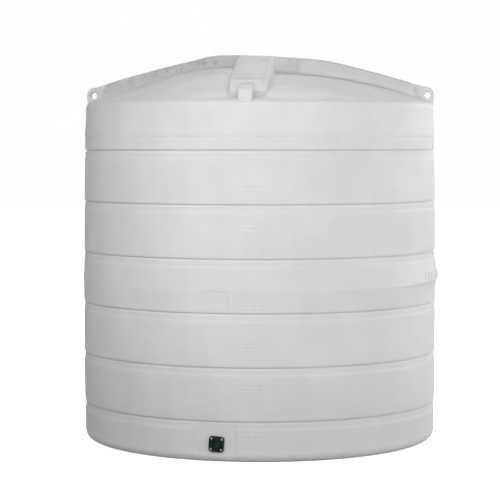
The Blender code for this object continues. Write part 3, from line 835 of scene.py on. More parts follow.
def box_cutter(name, place, reach, width, height):
    """A block along the frame's X from reach[0] to reach[1]."""
    deselect_all()
    middle = place @ Matrix.Translation(((reach[0] + reach[1]) / 2, 0.0, 0.0))
    bpy.ops.mesh.primitive_cube_add(
        size=1.0, location=middle.to_translation(), rotation=middle.to_euler(),
        scale=(reach[1] - reach[0], width, height))
    cutter = bpy.context.view_layer.objects.active
    cutter.name = name
    return cutter


def round_cutter(name, place, reach, radius, sides):
    """A cylinder along the frame's X from reach[0] to reach[1]."""
    deselect_all()
    middle = place @ Matrix.Translation(((reach[0] + reach[1]) / 2, 0.0, 0.0))
    turn = middle @ Matrix.Rotation(math.pi / 2, 4, "Y")
    bpy.ops.mesh.primitive_cylinder_add(
        vertices=sides, radius=radius, depth=reach[1] - reach[0],
        location=middle.to_translation(), rotation=turn.to_euler())
    cutter = bpy.context.view_layer.objects.active
    cutter.name = name
    return cutter


def bisect_through_axis(piece, azimuth, azimuths, heights):
    """Cuts an upright line in the outer wall, in the plane through the axis."""
    pick(piece, "FACE", lambda face: outer_face(face, azimuths, heights))
    bpy.ops.mesh.bisect(plane_co=(0.0, 0.0, 0.0), plane_no=outward(azimuth + 90.0))


def bisect_level(piece, height, azimuths, heights):
    """Cuts a level line in the outer wall."""
    pick(piece, "FACE", lambda face: outer_face(face, azimuths, heights))
    bpy.ops.mesh.bisect(plane_co=(0.0, 0.0, height), plane_no=(0.0, 0.0, 1.0))


def ramp(value, pair, low_edge, high_edge):
    """1 between a pair of values, falling to 0 over an edge at each end."""
    rise = (value - pair[0]) / low_edge
    fall = (pair[1] - value) / high_edge
    return min(1.0, max(0.0, min(rise, fall)))


def press_marks(piece, bottom, top):
    """Presses the blank level marks between two heights into the front of the wall."""
    slope = math.degrees(MARK_EDGE / 1.524)
    half = MARK_ROW_HEIGHT / 2
    for centre, depth in MARKS:
        if not bottom < centre < top:
            continue
        zone = ((-3.0, 8.0), (centre - 0.05, centre + 0.05))
        rows = [(centre + row - half, centre + row + half) for row in MARK_ROWS]
        edit(piece)
        for low, high in MARK_AZIMUTHS:
            for azimuth in (low, low + slope, high - slope, high):
                bisect_through_axis(piece, azimuth, *zone)
        for low, high in rows:
            for height in (low, low + MARK_EDGE, high - MARK_EDGE, high):
                bisect_level(piece, height, *zone)
        leave_edit()
        for vertex in piece.data.vertices:
            azimuth, height = azimuth_of(vertex.co), vertex.co.z
            if abs(height - centre) > 0.05 or math.hypot(vertex.co.x, vertex.co.y) < wall_radius(height) - 0.01:
                continue
            across = max(ramp(azimuth, pair, slope, slope) for pair in MARK_AZIMUTHS)
            upright = max(ramp(height, pair, MARK_EDGE, MARK_EDGE) for pair in rows)
            vertex.co -= outward(azimuth) * depth * min(across, upright)


def press_plate(piece):
    """Sinks the blank plate recess and raises the upright bead beside it."""
    zone = ((-22.0, 4.0), (PLATE_HEIGHTS[0] - 0.02, RIDGE_HEIGHT + 0.02))
    slope = math.degrees(PLATE_EDGE / 1.524)
    low, high = PLATE_AZIMUTHS
    start, end = BEAD_AZIMUTHS
    edit(piece)
    for azimuth in (low, low + 6 * slope, high - slope, high, start, (start + end) / 2, end):
        bisect_through_axis(piece, azimuth, *zone)
    for height in (PLATE_HEIGHTS[1] - PLATE_EDGE, 1.275, 1.345):
        bisect_level(piece, height, *zone)
    leave_edit()
    for vertex in piece.data.vertices:
        azimuth, height = azimuth_of(vertex.co), vertex.co.z
        if math.hypot(vertex.co.x, vertex.co.y) < 1.515 or not zone[1][0] < height < RIDGE_HEIGHT + 0.001:
            continue
        inside = ramp(azimuth, (low, high), 6 * slope, slope)
        inside *= ramp(height, PLATE_HEIGHTS, 0.030, PLATE_EDGE) * (0.55 + 0.45 * smooth_step(azimuth, low, high))
        bead = ramp(azimuth, BEAD_AZIMUTHS, (end - start) / 2, (end - start) / 2)
        bead *= ramp(height, (1.260, 1.360), 0.015, 0.015)
        vertex.co -= outward(azimuth) * (PLATE_DEPTH * inside - 0.0040 * bead)


def swell_ridge(piece):
    """Pushes the ridge out, most on the right side."""
    for vertex in piece.data.vertices:
        if math.hypot(vertex.co.x, vertex.co.y) > 1.50:
            azimuth = azimuth_of(vertex.co)
            push, lift = ridge_place(azimuth, vertex.co.z)
            vertex.co += outward(azimuth) * push + Vector((0.0, 0.0, lift))


def build_wall_bands():
    """The seven bands of the wall."""
    segments = sizes().segments
    # The wall's finish paints shade low on the wall, strongest at the left.
    material = polyethylene("wall_polyethylene", dust=0.03, runs=0.04, scuffs=0.04, low_shade=0.27)
    for number in range(1, 8):
        name = f"wall_band_{number}_skin"
        bottom = GROOVES[number - 2] + 0.0003 if number > 1 else 0.0
        if number == 1:
            outline = base_outline(GROOVES[0])
        elif number == 4:
            outline = ridge_outline(bottom, GROOVES[3])
        elif number == 7:
            outline = shoulder_outline(bottom)
        else:
            outline = middle_outline(bottom, GROOVES[number - 1])
        piece = turned_shell(name, outline, segments)
        if number == 1:
            sink_pad(piece)
        if number == 4:
            press_plate(piece)
        press_marks(piece, bottom, GROOVES[min(number, 6) - 1])
        if number == 4:
            swell_ridge(piece)
        wave_wall(piece)
        finish_piece(piece, material, [f"wall_band_{number}"])


# Row of upright bars on the right side

BAR_FIRST, BAR_STEP, BAR_COUNT = 69.4, 2.9, 15
BAR_WIDTH_DEGREES = 0.62
BAR_HEIGHTS = (1.398, 1.462)


def curved_block(name, azimuths, heights, proud, edge, steps):
    """A block spun round the axis so that it lies on the wall, with rounded outer edges."""
    low = outward(azimuths[0])
    middle_height = (heights[0] + heights[1]) / 2
    radius = wall_radius(middle_height)
    depth = 0.008 + proud
    place = low * (radius + proud - depth / 2)
    place.z = middle_height
    deselect_all()
    bpy.ops.mesh.primitive_plane_add(
        size=1.0, location=place, rotation=(math.pi / 2, 0.0, math.radians(azimuths[0] - 90.0)))
    piece = named(name)
    leave_edit()
    piece.scale = (depth, heights[1] - heights[0], 1.0)
    settle(piece)
    edit(piece)
    bpy.ops.mesh.select_all(action="SELECT")
    bpy.ops.mesh.spin(
        steps=steps, angle=math.radians(azimuths[1] - azimuths[0]), center=(0.0, 0.0, 0.0),
        axis=(0.0, 0.0, -1.0), dupli=False, use_auto_merge=False)
    tidy_shell(piece)
    shape = bmesh.from_edit_mesh(piece.data)
    limit = radius + proud / 2
    face_radius = [math.hypot(*face.calc_center_median().xy) for face in shape.faces]
    outer = {face.index for face, value in zip(shape.faces, face_radius) if value > limit}
    pick(piece, "EDGE", lambda item: sum(f.index in outer for f in item.link_faces) == 1)
    bpy.ops.mesh.bevel(offset=edge, segments=2, affect="EDGES")
    leave_edit()
    return piece


def lay_on_ridge(piece):
    """Moves a piece out with the ridge under it."""
    for vertex in piece.data.vertices:
        azimuth = azimuth_of(vertex.co)
        push, lift = ridge_place(azimuth, vertex.co.z)
        vertex.co += outward(azimuth) * push + Vector((0.0, 0.0, lift))


def join(pieces, name):
    """Joins pieces into the first one."""
    deselect_all()
    for piece in pieces:
        piece.select_set(True)
    bpy.context.view_layer.objects.active = pieces[0]
    bpy.ops.object.join()
    pieces[0].name = name
    return pieces[0]


def build_side_bars():
    """The row of plain upright bars on the right side."""
    material = polyethylene("bar_polyethylene", dust=0.03, runs=0.05, scuffs=0.05)
    bars = []
    for number in range(BAR_COUNT):
        centre = BAR_FIRST + BAR_STEP * number
        azimuths = (centre - BAR_WIDTH_DEGREES / 2, centre + BAR_WIDTH_DEGREES / 2)
        bars.append(curved_block(f"side_bar_{number + 1}", azimuths, BAR_HEIGHTS, 0.004, 0.003, 2))
    piece = join(bars, "side_bars")
    settle(piece)
    lay_on_ridge(piece)
    wave_wall(piece)
    finish_piece(piece, material)


# Roof

SKIRT = 0.045
RIB_HALF = 0.143
RIB_END = 1.325
CROWN_HALF = 0.355
PANEL_INNER = 0.300
PANEL_OUTER = 1.4447
SHELL = 0.012
RIB_BODY = 0.125
END_REACH = 0.040


def roof_outline():
    """Outline of the domed shell, down its outer side and back up inside."""
    radii = [PANEL_INNER] + between(PANEL_INNER, PANEL_OUTER, 18)
    outside = [(radius, roof_height(radius)) for radius in radii]
    inside = [(radius, roof_height(radius) - SHELL) for radius in (PANEL_OUTER, 1.0, 0.65, PANEL_INNER)]
    return outside + inside


def roof_panel(side, turn):
    """One quarter of the dome, between the feet of two ribs and the crown."""
    piece = turned_shell(f"roof_{side}_skin", roof_outline(), sizes().segments)
    edit(piece)
    first = Matrix.Rotation(math.radians(turn), 3, "Z") @ Vector((1.0, 0.0, 0.0))
    second = Matrix.Rotation(math.radians(turn), 3, "Z") @ Vector((0.0, 1.0, 0.0))
    offset = RIB_HALF + SKIRT
    diagonal = (first + second).normalized()
    reach = (CROWN_HALF + RIB_HALF) / math.sqrt(2.0) + SKIRT
    for normal, distance in ((first, offset), (second, offset), (diagonal, reach)):
        bpy.ops.mesh.select_all(action="SELECT")
        bpy.ops.mesh.bisect(plane_co=normal * distance, plane_no=normal, use_fill=True, clear_inner=True)
    tidy_shell(piece)
    leave_edit()
    return piece


def build_roof_panels():
    """The four domed panels, one with the manway's hole."""
    material = polyethylene("roof_polyethylene", dust=0.08, runs=0.04, scuffs=0.14, high_darkening=0.20)
    for side, turn in QUARTERS.items():
        piece = roof_panel(side, turn)
        if side == "rear_right":
            place = outward(MANWAY_AZIMUTH) * MANWAY_AT
            deselect_all()
            bpy.ops.mesh.primitive_cylinder_add(
                vertices=96, radius=MANWAY_RADIUS + 0.0005, depth=1.0, location=(place.x, place.y, 3.0))
            cut(piece, [bpy.context.view_layer.objects.active])
        swell_roof(piece)
        wave_roof(piece)
        finish_piece(piece, material, [f"roof_{side}"])


def extrude_arm(piece, azimuth):
    """Extrudes one straight side of the crown out to the rib's end."""
    direction = outward(azimuth)

    def end_face(face):
        return face.normal.dot(direction) > 0.99 and face.calc_center_median().dot(direction) > CROWN_HALF - 0.01

    pick(piece, "FACE", end_face)
    steps = 12
    for _ in range(steps):
        reach = direction * ((RIB_END - CROWN_HALF) / steps)
        bpy.ops.mesh.extrude_region_move(TRANSFORM_OT_translate={"value": reach})


def flat_cross():
    """The crown and its four arms as one flat block, with a thin skirt all round its foot."""
    deselect_all()
    bpy.ops.mesh.primitive_cube_add(size=1.0, location=(0.0, 0.0, (RIB_BODY - SHELL) / 2))
    piece = named("crown_and_ribs_skin")
    leave_edit()
    piece.scale = (2 * CROWN_HALF, 2 * CROWN_HALF, RIB_BODY + SHELL)
    settle(piece)
    edit(piece)
    pick(piece, "EDGE", lambda edge: abs(edge.verts[0].co.z - edge.verts[1].co.z) > 0.01)
    bpy.ops.mesh.bevel(offset=CROWN_HALF - RIB_HALF, segments=1, affect="EDGES")
    for place in (-0.10, -0.05, 0.0, 0.05, 0.10):
        for axis in (Vector((1.0, 0.0, 0.0)), Vector((0.0, 1.0, 0.0))):
            bpy.ops.mesh.select_all(action="SELECT")
            bpy.ops.mesh.bisect(plane_co=axis * place, plane_no=axis)
    for azimuth in SIDES.values():
        extrude_arm(piece, azimuth)
    pick(piece, "EDGE", is_corner)
    bpy.ops.mesh.bevel(offset=corner_round(), segments=4, affect="EDGES")
    bpy.ops.mesh.select_all(action="SELECT")
    bpy.ops.mesh.bisect(plane_co=(0.0, 0.0, 0.0), plane_no=(0.0, 0.0, 1.0))
    pick(piece, "FACE", lambda face: abs(face.normal.z) < 0.1 and face.calc_center_median().z < 0.0)
    bpy.ops.mesh.extrude_region_shrink_fatten(
        TRANSFORM_OT_shrink_fatten={"value": SKIRT, "use_even_offset": True})
    return piece


def corner_round():
    """Radius of the ribs' upright corners."""
    return sizes().rib_round * 1.15


def is_side(face):
    """True for an upright face."""
    return abs(face.normal.z) < 0.3


def edge_between(edge, height):
    """True for an edge at a height, between an upright face and a flat one."""
    if len(edge.link_faces) != 2 or any(abs(v.co.z - height) > 0.001 for v in edge.verts):
        return False
    return is_side(edge.link_faces[0]) != is_side(edge.link_faces[1])


def is_corner(edge):
    """True for an upright edge between two upright faces that meet at an angle."""
    if len(edge.link_faces) != 2 or abs(edge.verts[0].co.z - edge.verts[1].co.z) < 0.05:
        return False
    first, second = edge.link_faces
    return is_side(first) and is_side(second) and first.normal.angle(second.normal) > 0.5


def round_cross(piece):
    """Rounds the block's top edges, and fills its foot with a fillet."""
    s = sizes()
    pick(piece, "EDGE", lambda edge: edge_between(edge, RIB_BODY))
    bpy.ops.mesh.bevel(offset=s.rib_round, segments=4, affect="EDGES")
    outline_reach = RIB_END + SKIRT / 2

    def foot_edge(edge):
        if not edge_between(edge, 0.0):
            return False
        across = sorted(abs(value) for value in (edge.verts[0].co + edge.verts[1].co) / 2)
        return across[-1] < outline_reach and not on_skirt_rim(edge)

    pick(piece, "EDGE", foot_edge)
    bpy.ops.mesh.bevel(offset=s.rib_fillet, segments=5, affect="EDGES")


def on_skirt_rim(edge):
    """True for an edge on the skirt's outer rim."""
    return any(is_side(face) and face.calc_center_median().z < -0.001 for face in edge.link_faces)


def stretch_end(long, across, height):
    """Moves a place near a rib's end so that the skirt's rim lies on the eave's circle."""
    turn = corner_round()
    out, aside = long - RIB_END + turn, across - RIB_HALF + turn
    if min(out, aside) > 0.0 and math.hypot(out, aside) > turn + SKIRT - 0.001:
        share = (turn + SKIRT) / max(out, aside)
        long, across = RIB_END - turn + out * share, RIB_HALF - turn + aside * share
    reach = math.sqrt(PANEL_OUTER ** 2 - across ** 2) - RIB_END - SKIRT
    share = (long - RIB_END + END_REACH) / (SKIRT + END_REACH)
    return long + reach * share * (1.0 - max(0.0, height) / RIB_BODY), across


def dome_cross(piece):
    """Lays the flat block on the dome, with leaning ends."""
    for vertex in piece.data.vertices:
        x, y, height = vertex.co
        along_x = abs(x) > abs(y)
        long, across = (abs(x), abs(y)) if along_x else (abs(y), abs(x))
        if long > RIB_END - END_REACH:
            long, across = stretch_end(long, across, height)
            x, y = (long, across) if along_x else (across, long)
            x, y = math.copysign(x, vertex.co.x), math.copysign(y, vertex.co.y)
        radius = math.hypot(x, y)
        foot = roof_height(radius) + roof_swell(x, y)
        body = cross_height(x, radius) - foot
        lift = height if height < 0.0 else height * body / RIB_BODY
        vertex.co = (x, y, foot + lift)


def build_ribs():
    """The crown and the four box ribs."""
    # The ribs' finish paints shade on the left rib's front side and on the ribs' bodies, and is darker high up.
    material = polyethylene("rib_polyethylene", dust=0.08, runs=0.04, scuffs=0.18, left_shade=0.84, high_darkening=0.20, dull=0.12)
    piece = flat_cross()
    round_cross(piece)
    leave_edit()
    dome_cross(piece)
    wave_roof(piece)
    nodes = ["crown"] + [f"rib_{side}" for side in SIDES]
    finish_piece(piece, material, nodes, angle=40.0)


# Tie-down lugs

LUG_THICKNESS = 0.108
LUG_OUTER_RADIUS = 1.513
LUG_TOPS = {"front": 3.034, "right": 3.064, "rear": 3.034, "left": 3.064}
LUG_TOP_FALL = 0.044
LUG_CORNER = 0.056
LUG_FOOT = 2.846
LUG_HOLE_RADIUS = 0.028
LUG_HOLE_AT = 1.452
LUG_HOLE_HEIGHT = 2.963


def build_lug(side, azimuth, material):
    """One lug: a thick plate with a round corner, a sloping top, a toe and a hole."""
    start = RIB_END - 0.010
    summit = LUG_TOPS[side]
    place = frame_at(azimuth, (start + LUG_OUTER_RADIUS) / 2, (summit + LUG_FOOT) / 2)
    size = (LUG_OUTER_RADIUS - start, LUG_THICKNESS, summit - LUG_FOOT)
    deselect_all()
    bpy.ops.mesh.primitive_cube_add(
        size=1.0, location=place.to_translation(), rotation=place.to_euler(), scale=size)
    piece = named(f"tie_down_lug_{side}_skin")
    leave_edit()
    settle(piece)
    direction = outward(azimuth)
    edit(piece)

    def at(vertex, outer, top):
        out = vertex.co.dot(direction) > LUG_OUTER_RADIUS - 0.01
        high = vertex.co.z > (summit + LUG_FOOT) / 2
        return out == outer and high == top

    pick(piece, "VERT", lambda vertex: at(vertex, True, True))
    bpy.ops.transform.translate(value=(0.0, 0.0, -LUG_TOP_FALL))
    pick(piece, "VERT", lambda vertex: at(vertex, True, False))
    bpy.ops.transform.translate(value=-direction * 0.012)
    pick(piece, "EDGE", lambda edge: all(
        v.co.dot(direction) > LUG_OUTER_RADIUS - 0.005 and v.co.z > summit - 0.06 for v in edge.verts))
    bpy.ops.mesh.bevel(offset=LUG_CORNER, segments=6, affect="EDGES")
    leave_edit()
    hole_place = frame_at(azimuth + 90.0)
    hole_place.translation = direction * LUG_HOLE_AT + Vector((0.0, 0.0, LUG_HOLE_HEIGHT))
    cut(piece, [round_cutter("lug_hole_cut", hole_place, (-0.2, 0.2), LUG_HOLE_RADIUS, 40)])
    round_edges(piece, sizes().lug_round, 3)
    finish_piece(piece, material, [f"tie_down_lug_{side}"])


def build_lugs():
    """The four tie-down lugs."""
    # The lugs' finish paints shade on the left lug's front side.
    material = polyethylene("lug_polyethylene", dust=0.04, runs=0.06, scuffs=0.16, left_shade=0.38)
    for side, azimuth in SIDES.items():
        build_lug(side, azimuth, material)


# Outlet

FLANGE_SIZE = 0.126
FLANGE_CORNER = 0.025
FLANGE_THICKNESS = 0.011
GASKET_THICKNESS = 0.006
GAP = 0.0003
BORE_RADIUS = 0.036
LIP_RADIUS = 0.0445
LIP_THICKNESS = 0.009
PLUG_RADIUS = 0.0355
PLUG_LENGTH = 0.036
PLUG_SETBACK = 0.008
BOLT_SPACING = 0.085


def outlet_place(distance):
    """A frame on the outlet's axis, that far out from the flat land."""
    return frame_at(OUTLET_AZIMUTH, LAND_DISTANCE + distance, OUTLET_HEIGHT, -OUTLET_TURN)


def bolt_places():
    """Where the four bolts stand on the flange."""
    half = BOLT_SPACING / 2
    return [(-half, half), (half, half), (half, -half), (-half, -half)]


def square_plate(name, size, start, thickness, corner, edge):
    """A square plate with round corners, a bore and rounded rims."""
    place = outlet_place(start)
    piece = box_cutter(name, place, (0.0, thickness), size, size)
    settle(piece)
    along = place.to_3x3() @ Vector((1.0, 0.0, 0.0))
    edit(piece)
    pick(piece, "EDGE", lambda item: abs((item.verts[0].co - item.verts[1].co).normalized().dot(along)) > 0.9)
    bpy.ops.mesh.bevel(offset=corner, segments=8, affect="EDGES")
    leave_edit()
    cut(piece, [round_cutter("bore_cut", place, (-0.1, 0.1), BORE_RADIUS, 64)])
    round_edges(piece, edge, 2, 30.0)
    return piece


def turned_on(place, name, outline, segments):
    """A turned piece whose axis is the frame's X. The outline is (radius, distance along X)."""
    piece = turned_shell(name, outline, segments)
    piece.matrix_world = place @ Matrix.Rotation(math.pi / 2, 4, "Y")
    settle(piece)
    return piece


def lip_outline():
    """The raised lip: a rounded rim, with thread rings inside its bore."""
    rim = 0.0035
    points = [(BORE_RADIUS + 0.001, 0.0), (LIP_RADIUS, 0.0), (LIP_RADIUS, LIP_THICKNESS - rim)]
    points += arc((LIP_RADIUS - rim, LIP_THICKNESS - rim), rim, 0.0, 90.0, 4)[1:]
    points += [(BORE_RADIUS + 0.0025, LIP_THICKNESS), (BORE_RADIUS + 0.0006, LIP_THICKNESS - 0.002)]
    for height in (0.0060, 0.0038):
        points += [(BORE_RADIUS + 0.0012, height), (BORE_RADIUS + 0.0003, height - 0.0011)]
    return points


def plug_outline():
    """The plug: a rim, a recess with a raised boss, and a back."""
    depth = 0.011
    return [
        (0.002, -PLUG_LENGTH), (PLUG_RADIUS - 0.002, -PLUG_LENGTH), (PLUG_RADIUS, 0.002 - PLUG_LENGTH),
        (PLUG_RADIUS, -0.0015), (PLUG_RADIUS - 0.0015, 0.0), (0.0300, 0.0), (0.0285, -0.0015),
        (0.0275, 0.001 - depth), (0.0265, -depth), (0.0130, -depth), (0.0125, 0.001 - depth),
        (0.0118, -0.0035), (0.0108, -0.0025), (0.002, -0.0025),
    ]


def build_plug(material):
    """The green plug, with radial ribs in its recess."""
    end = GASKET_THICKNESS + 3 * GAP + FLANGE_THICKNESS + LIP_THICKNESS - PLUG_SETBACK
    place = outlet_place(end)
    piece = turned_on(place, "outlet_plug_skin", plug_outline(), 64)
    edit(piece)
    along = place.to_3x3() @ Vector((1.0, 0.0, 0.0))
    centre = place.to_translation()
    pick(piece, "FACE", lambda face: all(
        ((v.co - centre) - along * (v.co - centre).dot(along)).length < 0.003 for v in face.verts))
    bpy.ops.mesh.delete(type="FACE")
    bpy.ops.mesh.select_mode(type="EDGE")
    bpy.ops.mesh.select_all(action="DESELECT")
    bpy.ops.mesh.select_non_manifold()
    bpy.ops.mesh.fill_holes(sides=0)
    tidy_shell(piece)
    leave_edit()
    ribs = []
    for number in range(8):
        turn = Matrix.Rotation(math.tau * number / 8 + 0.2, 4, "X")
        spoke = place @ turn @ Matrix.Translation((-0.0085, 0.0, 0.020))
        rib = box_cutter(f"plug_rib_{number}", spoke, (-0.004, 0.004), 0.0024, 0.0165)
        settle(rib)
        round_edges(rib, 0.0006, 2)
        ribs.append(rib)
    piece = join([piece] + ribs, "outlet_plug_skin")
    finish_piece(piece, material, ["outlet_plug"])


def build_bolt(number, across, up, material):
    """A hex bolt on a washer."""
    start = GASKET_THICKNESS + 2 * GAP + FLANGE_THICKNESS
    place = outlet_place(start) @ Matrix.Translation((0.0, across, up))
    washer = round_cutter("washer", place, (GAP, 0.0018), 0.0092, 32)
    settle(washer)
    round_edges(washer, 0.0004, 2)
    turn = place @ Matrix.Rotation(0.5 * number, 4, "X")
    head = round_cutter("head", turn, (0.0018, 0.0070), 0.0080, 6)
    settle(head)
    round_edges(head, 0.0008, 2)
    shank = round_cutter("shank", place, (-0.012, 0.0010), 0.0050, 20)
    settle(shank)
    round_edges(shank, 0.0006, 2)
    piece = join([head, washer, shank], f"outlet_bolt_{number}_skin")
    finish_piece(piece, material, [f"outlet_bolt_{number}"])


def build_outlet():
    """The gasket, the flange, the lip, the plug and the bolts."""
    black, rubber, steel = black_polypropylene(), gasket_rubber(), bolt_steel()
    gasket = square_plate("outlet_gasket_skin", FLANGE_SIZE - 0.004, GAP, GASKET_THICKNESS, FLANGE_CORNER, 0.0012)
    finish_piece(gasket, rubber, ["outlet_gasket"])
    start = GASKET_THICKNESS + 2 * GAP
    flange = square_plate("outlet_flange_skin", FLANGE_SIZE, start, FLANGE_THICKNESS, FLANGE_CORNER, 0.0022)
    finish_piece(flange, black, ["outlet_flange"])
    lip = turned_on(outlet_place(start + FLANGE_THICKNESS + GAP), "outlet_lip_skin", lip_outline(), 64)
    finish_piece(lip, black, ["outlet_lip"])
    build_plug(green_plug_plastic())
    for number, (across, up) in enumerate(bolt_places(), 1):
        build_bolt(number, across, up, steel)


# Manway

MANWAY_AZIMUTH = 135.0
MANWAY_AT = 0.800
MANWAY_RADIUS = 0.235
MANWAY_WALL = 0.014
MANWAY_TOP = 3.170
LID_RADIUS = 0.262
LID_THICKNESS = 0.042
VENT_RADIUS = 0.045
VENT_HEIGHT = 0.018
LID_GRIPS = 16


def neck_outline():
    """The neck, with a collar under the lid and a foot in the roof."""
    foot = roof_height(MANWAY_AT + MANWAY_RADIUS) - 2 * SHELL
    inner = MANWAY_RADIUS - MANWAY_WALL
    return [
        (inner, foot), (MANWAY_RADIUS, foot), (MANWAY_RADIUS, MANWAY_TOP - 0.050),
        (MANWAY_RADIUS + 0.008, MANWAY_TOP - 0.044), (MANWAY_RADIUS + 0.008, MANWAY_TOP - 0.034),
        (MANWAY_RADIUS, MANWAY_TOP - 0.028), (MANWAY_RADIUS, MANWAY_TOP - 0.004),
        (MANWAY_RADIUS - 0.004, MANWAY_TOP), (inner + 0.003, MANWAY_TOP), (inner, MANWAY_TOP - 0.003),
    ]


def lid_outline():
    """The lid: a flat underside, a rim and a stepped top."""
    low = MANWAY_TOP + GAP
    high = low + LID_THICKNESS
    points = [(0.010, low), (LID_RADIUS - 0.004, low), (LID_RADIUS, low + 0.004), (LID_RADIUS, high - 0.012)]
    points += arc((LID_RADIUS - 0.012, high - 0.012), 0.012, 0.0, 90.0, 5)[1:]
    points += [(0.215, high), (0.211, high - 0.002), (0.205, high - 0.006), (0.200, high - 0.007)]
    points += [(0.075, high - 0.007), (0.070, high - 0.006), (0.064, high - 0.001), (0.060, high), (0.010, high)]
    return points


def close_poles(piece, centre, reach):
    """Fills a turned piece's small holes at its axis, in edit mode."""
    def at_axis(face):
        return all(math.hypot(v.co.x - centre.x, v.co.y - centre.y) < reach for v in face.verts)

    pick(piece, "FACE", at_axis)
    bpy.ops.mesh.delete(type="FACE")
    bpy.ops.mesh.select_mode(type="EDGE")
    bpy.ops.mesh.select_all(action="DESELECT")
    bpy.ops.mesh.select_non_manifold()
    bpy.ops.mesh.fill_holes(sides=0)
    tidy_shell(piece)


def move_to(piece, place):
    """Moves a piece level."""
    piece.location = (place.x, place.y, 0.0)
    settle(piece)


def build_manway():
    """The manway's neck, its lid with grips round the rim, and the vent."""
    material = polyethylene("manway_polyethylene", dust=0.10, runs=0.04, scuffs=0.14)
    place = outward(MANWAY_AZIMUTH) * MANWAY_AT
    neck = turned_shell("manway_neck_skin", neck_outline(), 96)
    move_to(neck, place)
    finish_piece(neck, material, ["manway_neck"])
    lid = turned_shell("manway_lid_skin", lid_outline(), 128)
    edit(lid)
    close_poles(lid, Vector((0.0, 0.0, 0.0)), 0.011)
    leave_edit()
    grips = []
    middle = MANWAY_TOP + GAP + LID_THICKNESS * 0.42
    for number in range(LID_GRIPS):
        azimuth = 360.0 * number / LID_GRIPS
        spot = frame_at(azimuth, LID_RADIUS - 0.004, middle)
        grip = box_cutter(f"grip_{number}", spot, (-0.006, 0.009), 0.030, LID_THICKNESS * 0.62)
        settle(grip)
        round_edges(grip, 0.004, 3)
        grips.append(grip)
    lid = join([lid] + grips, "manway_lid_skin")
    move_to(lid, place)
    finish_piece(lid, material, ["manway_lid"])
    low = MANWAY_TOP + 2 * GAP + LID_THICKNESS
    high = low + VENT_HEIGHT
    vent_points = [
        (0.004, low), (VENT_RADIUS - 0.006, low), (VENT_RADIUS - 0.006, low + 0.005),
        (VENT_RADIUS, low + 0.006), (VENT_RADIUS, high - 0.004), (VENT_RADIUS - 0.004, high), (0.004, high),
    ]
    vent = turned_shell("manway_vent_skin", vent_points, 48)
    edit(vent)
    close_poles(vent, Vector((0.0, 0.0, 0.0)), 0.005)
    leave_edit()
    move_to(vent, place)
    finish_piece(vent, material, ["manway_vent"])


def finish_base_floor():
    """The flat floor disc stays as it is, with the wall's finish."""
    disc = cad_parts["base_floor"]
    disc.data.materials.clear()
    disc.data.materials.append(polyethylene("floor_polyethylene", dust=0.12, runs=0.0, scuffs=0.20))


# Stage

FLOOR_RADIUS = 60.0
LAMPS = {
    # name: (azimuth from the camera's, distance, height, size, power in watts, height aimed at, spread)
    "left": (-50.0, 8.5, 6.2, 3.5, 93.0),
    "front": (-22.0, 8.5, 7.0, 3.5, 174.0),
    "glow": (-23.0, 6.5, 3.2, 1.2, 0.62, 1.86, 30.0),
    "key": (8.0, 8.5, 5.5, 3.5, 179.0),
    "right": (35.0, 8.5, 3.2, 3.5, 58.0),
    "side": (95.0, 8.5, 3.6, 3.5, 182.0),
    "rim": (125.0, 8.5, 5.0, 3.5, 225.0),
    "roof": (180.0, 7.0, 9.0, 5.0, 285.0),
    "rear": (180.0, 10.0, 4.0, 4.0, 200.0),
}


def build_floor():
    """A plain pale floor, brighter to the camera than to the tank."""
    deselect_all()
    bpy.ops.mesh.primitive_circle_add(vertices=96, radius=FLOOR_RADIUS, fill_type="NGON")
    floor = bpy.context.view_layer.objects.active
    floor.name = "studio_floor"
    material = bpy.data.materials.new("studio_floor")
    material.use_nodes = True
    tree = material.node_tree
    shader = tree.nodes["Principled BSDF"]
    shader.inputs["Roughness"].default_value = 0.9
    shader.inputs["Specular IOR Level"].default_value = 0.1
    seen = tree.nodes.new("ShaderNodeLightPath").outputs["Is Camera Ray"]
    tree.links.new(mixed(tree, seen, (0.60, 0.60, 0.60), (0.93, 0.93, 0.93)), shader.inputs["Base Color"])
    shader.inputs["Emission Color"].default_value = (1.0, 1.0, 1.0, 1.0)
    vector = tree.nodes.new("ShaderNodeTexCoord").outputs["Object"]
    away = node(tree, "VectorMath", {0: vector}, operation="LENGTH").outputs["Value"]
    glow = ranged(tree, away, 1.5, 4.5, 0.80, 1.0)
    tree.links.new(calc(tree, "MULTIPLY", seen, glow), shader.inputs["Emission Strength"])
    floor.data.materials.append(material)


def build_lamp(name, azimuth, distance, height, size, power, aim=1.5, spread=180.0):
    """A soft square lamp that looks at the tank's axis."""
    light = bpy.data.lights.new(name, "AREA")
    light.shape = "SQUARE"
    light.size = size
    light.energy = power
    light.spread = math.radians(spread)
    lamp = bpy.data.objects.new(f"lamp_{name}", light)
    bpy.context.scene.collection.objects.link(lamp)
    place = outward(math.degrees(bpy.context.scene.tank_stage.azimuth) + azimuth) * distance
    place.z = height
    lamp.location = place
    lamp.rotation_euler = (Vector((0.0, 0.0, aim)) - place).to_track_quat("-Z", "Y").to_euler()


def build_world():
    """White behind the tank, and a soft sky that lights it from low down."""
    world = bpy.data.worlds.new("studio")
    bpy.context.scene.world = world
    world.use_nodes = True
    tree = world.node_tree
    background = tree.nodes["Background"]
    seen = tree.nodes.new("ShaderNodeLightPath").outputs["Is Camera Ray"]
    direction = tree.nodes.new("ShaderNodeTexCoord").outputs["Generated"]
    up = node(tree, "SeparateXYZ", {0: direction}).outputs[2]
    sky = ranged(tree, up, 0.0, 0.9, 0.57, 0.0)
    grey = node(tree, "CombineColor", {0: sky, 1: sky, 2: sky}).outputs[0]
    tree.links.new(mixed(tree, seen, grey, (1.0, 1.0, 1.0)), background.inputs["Color"])


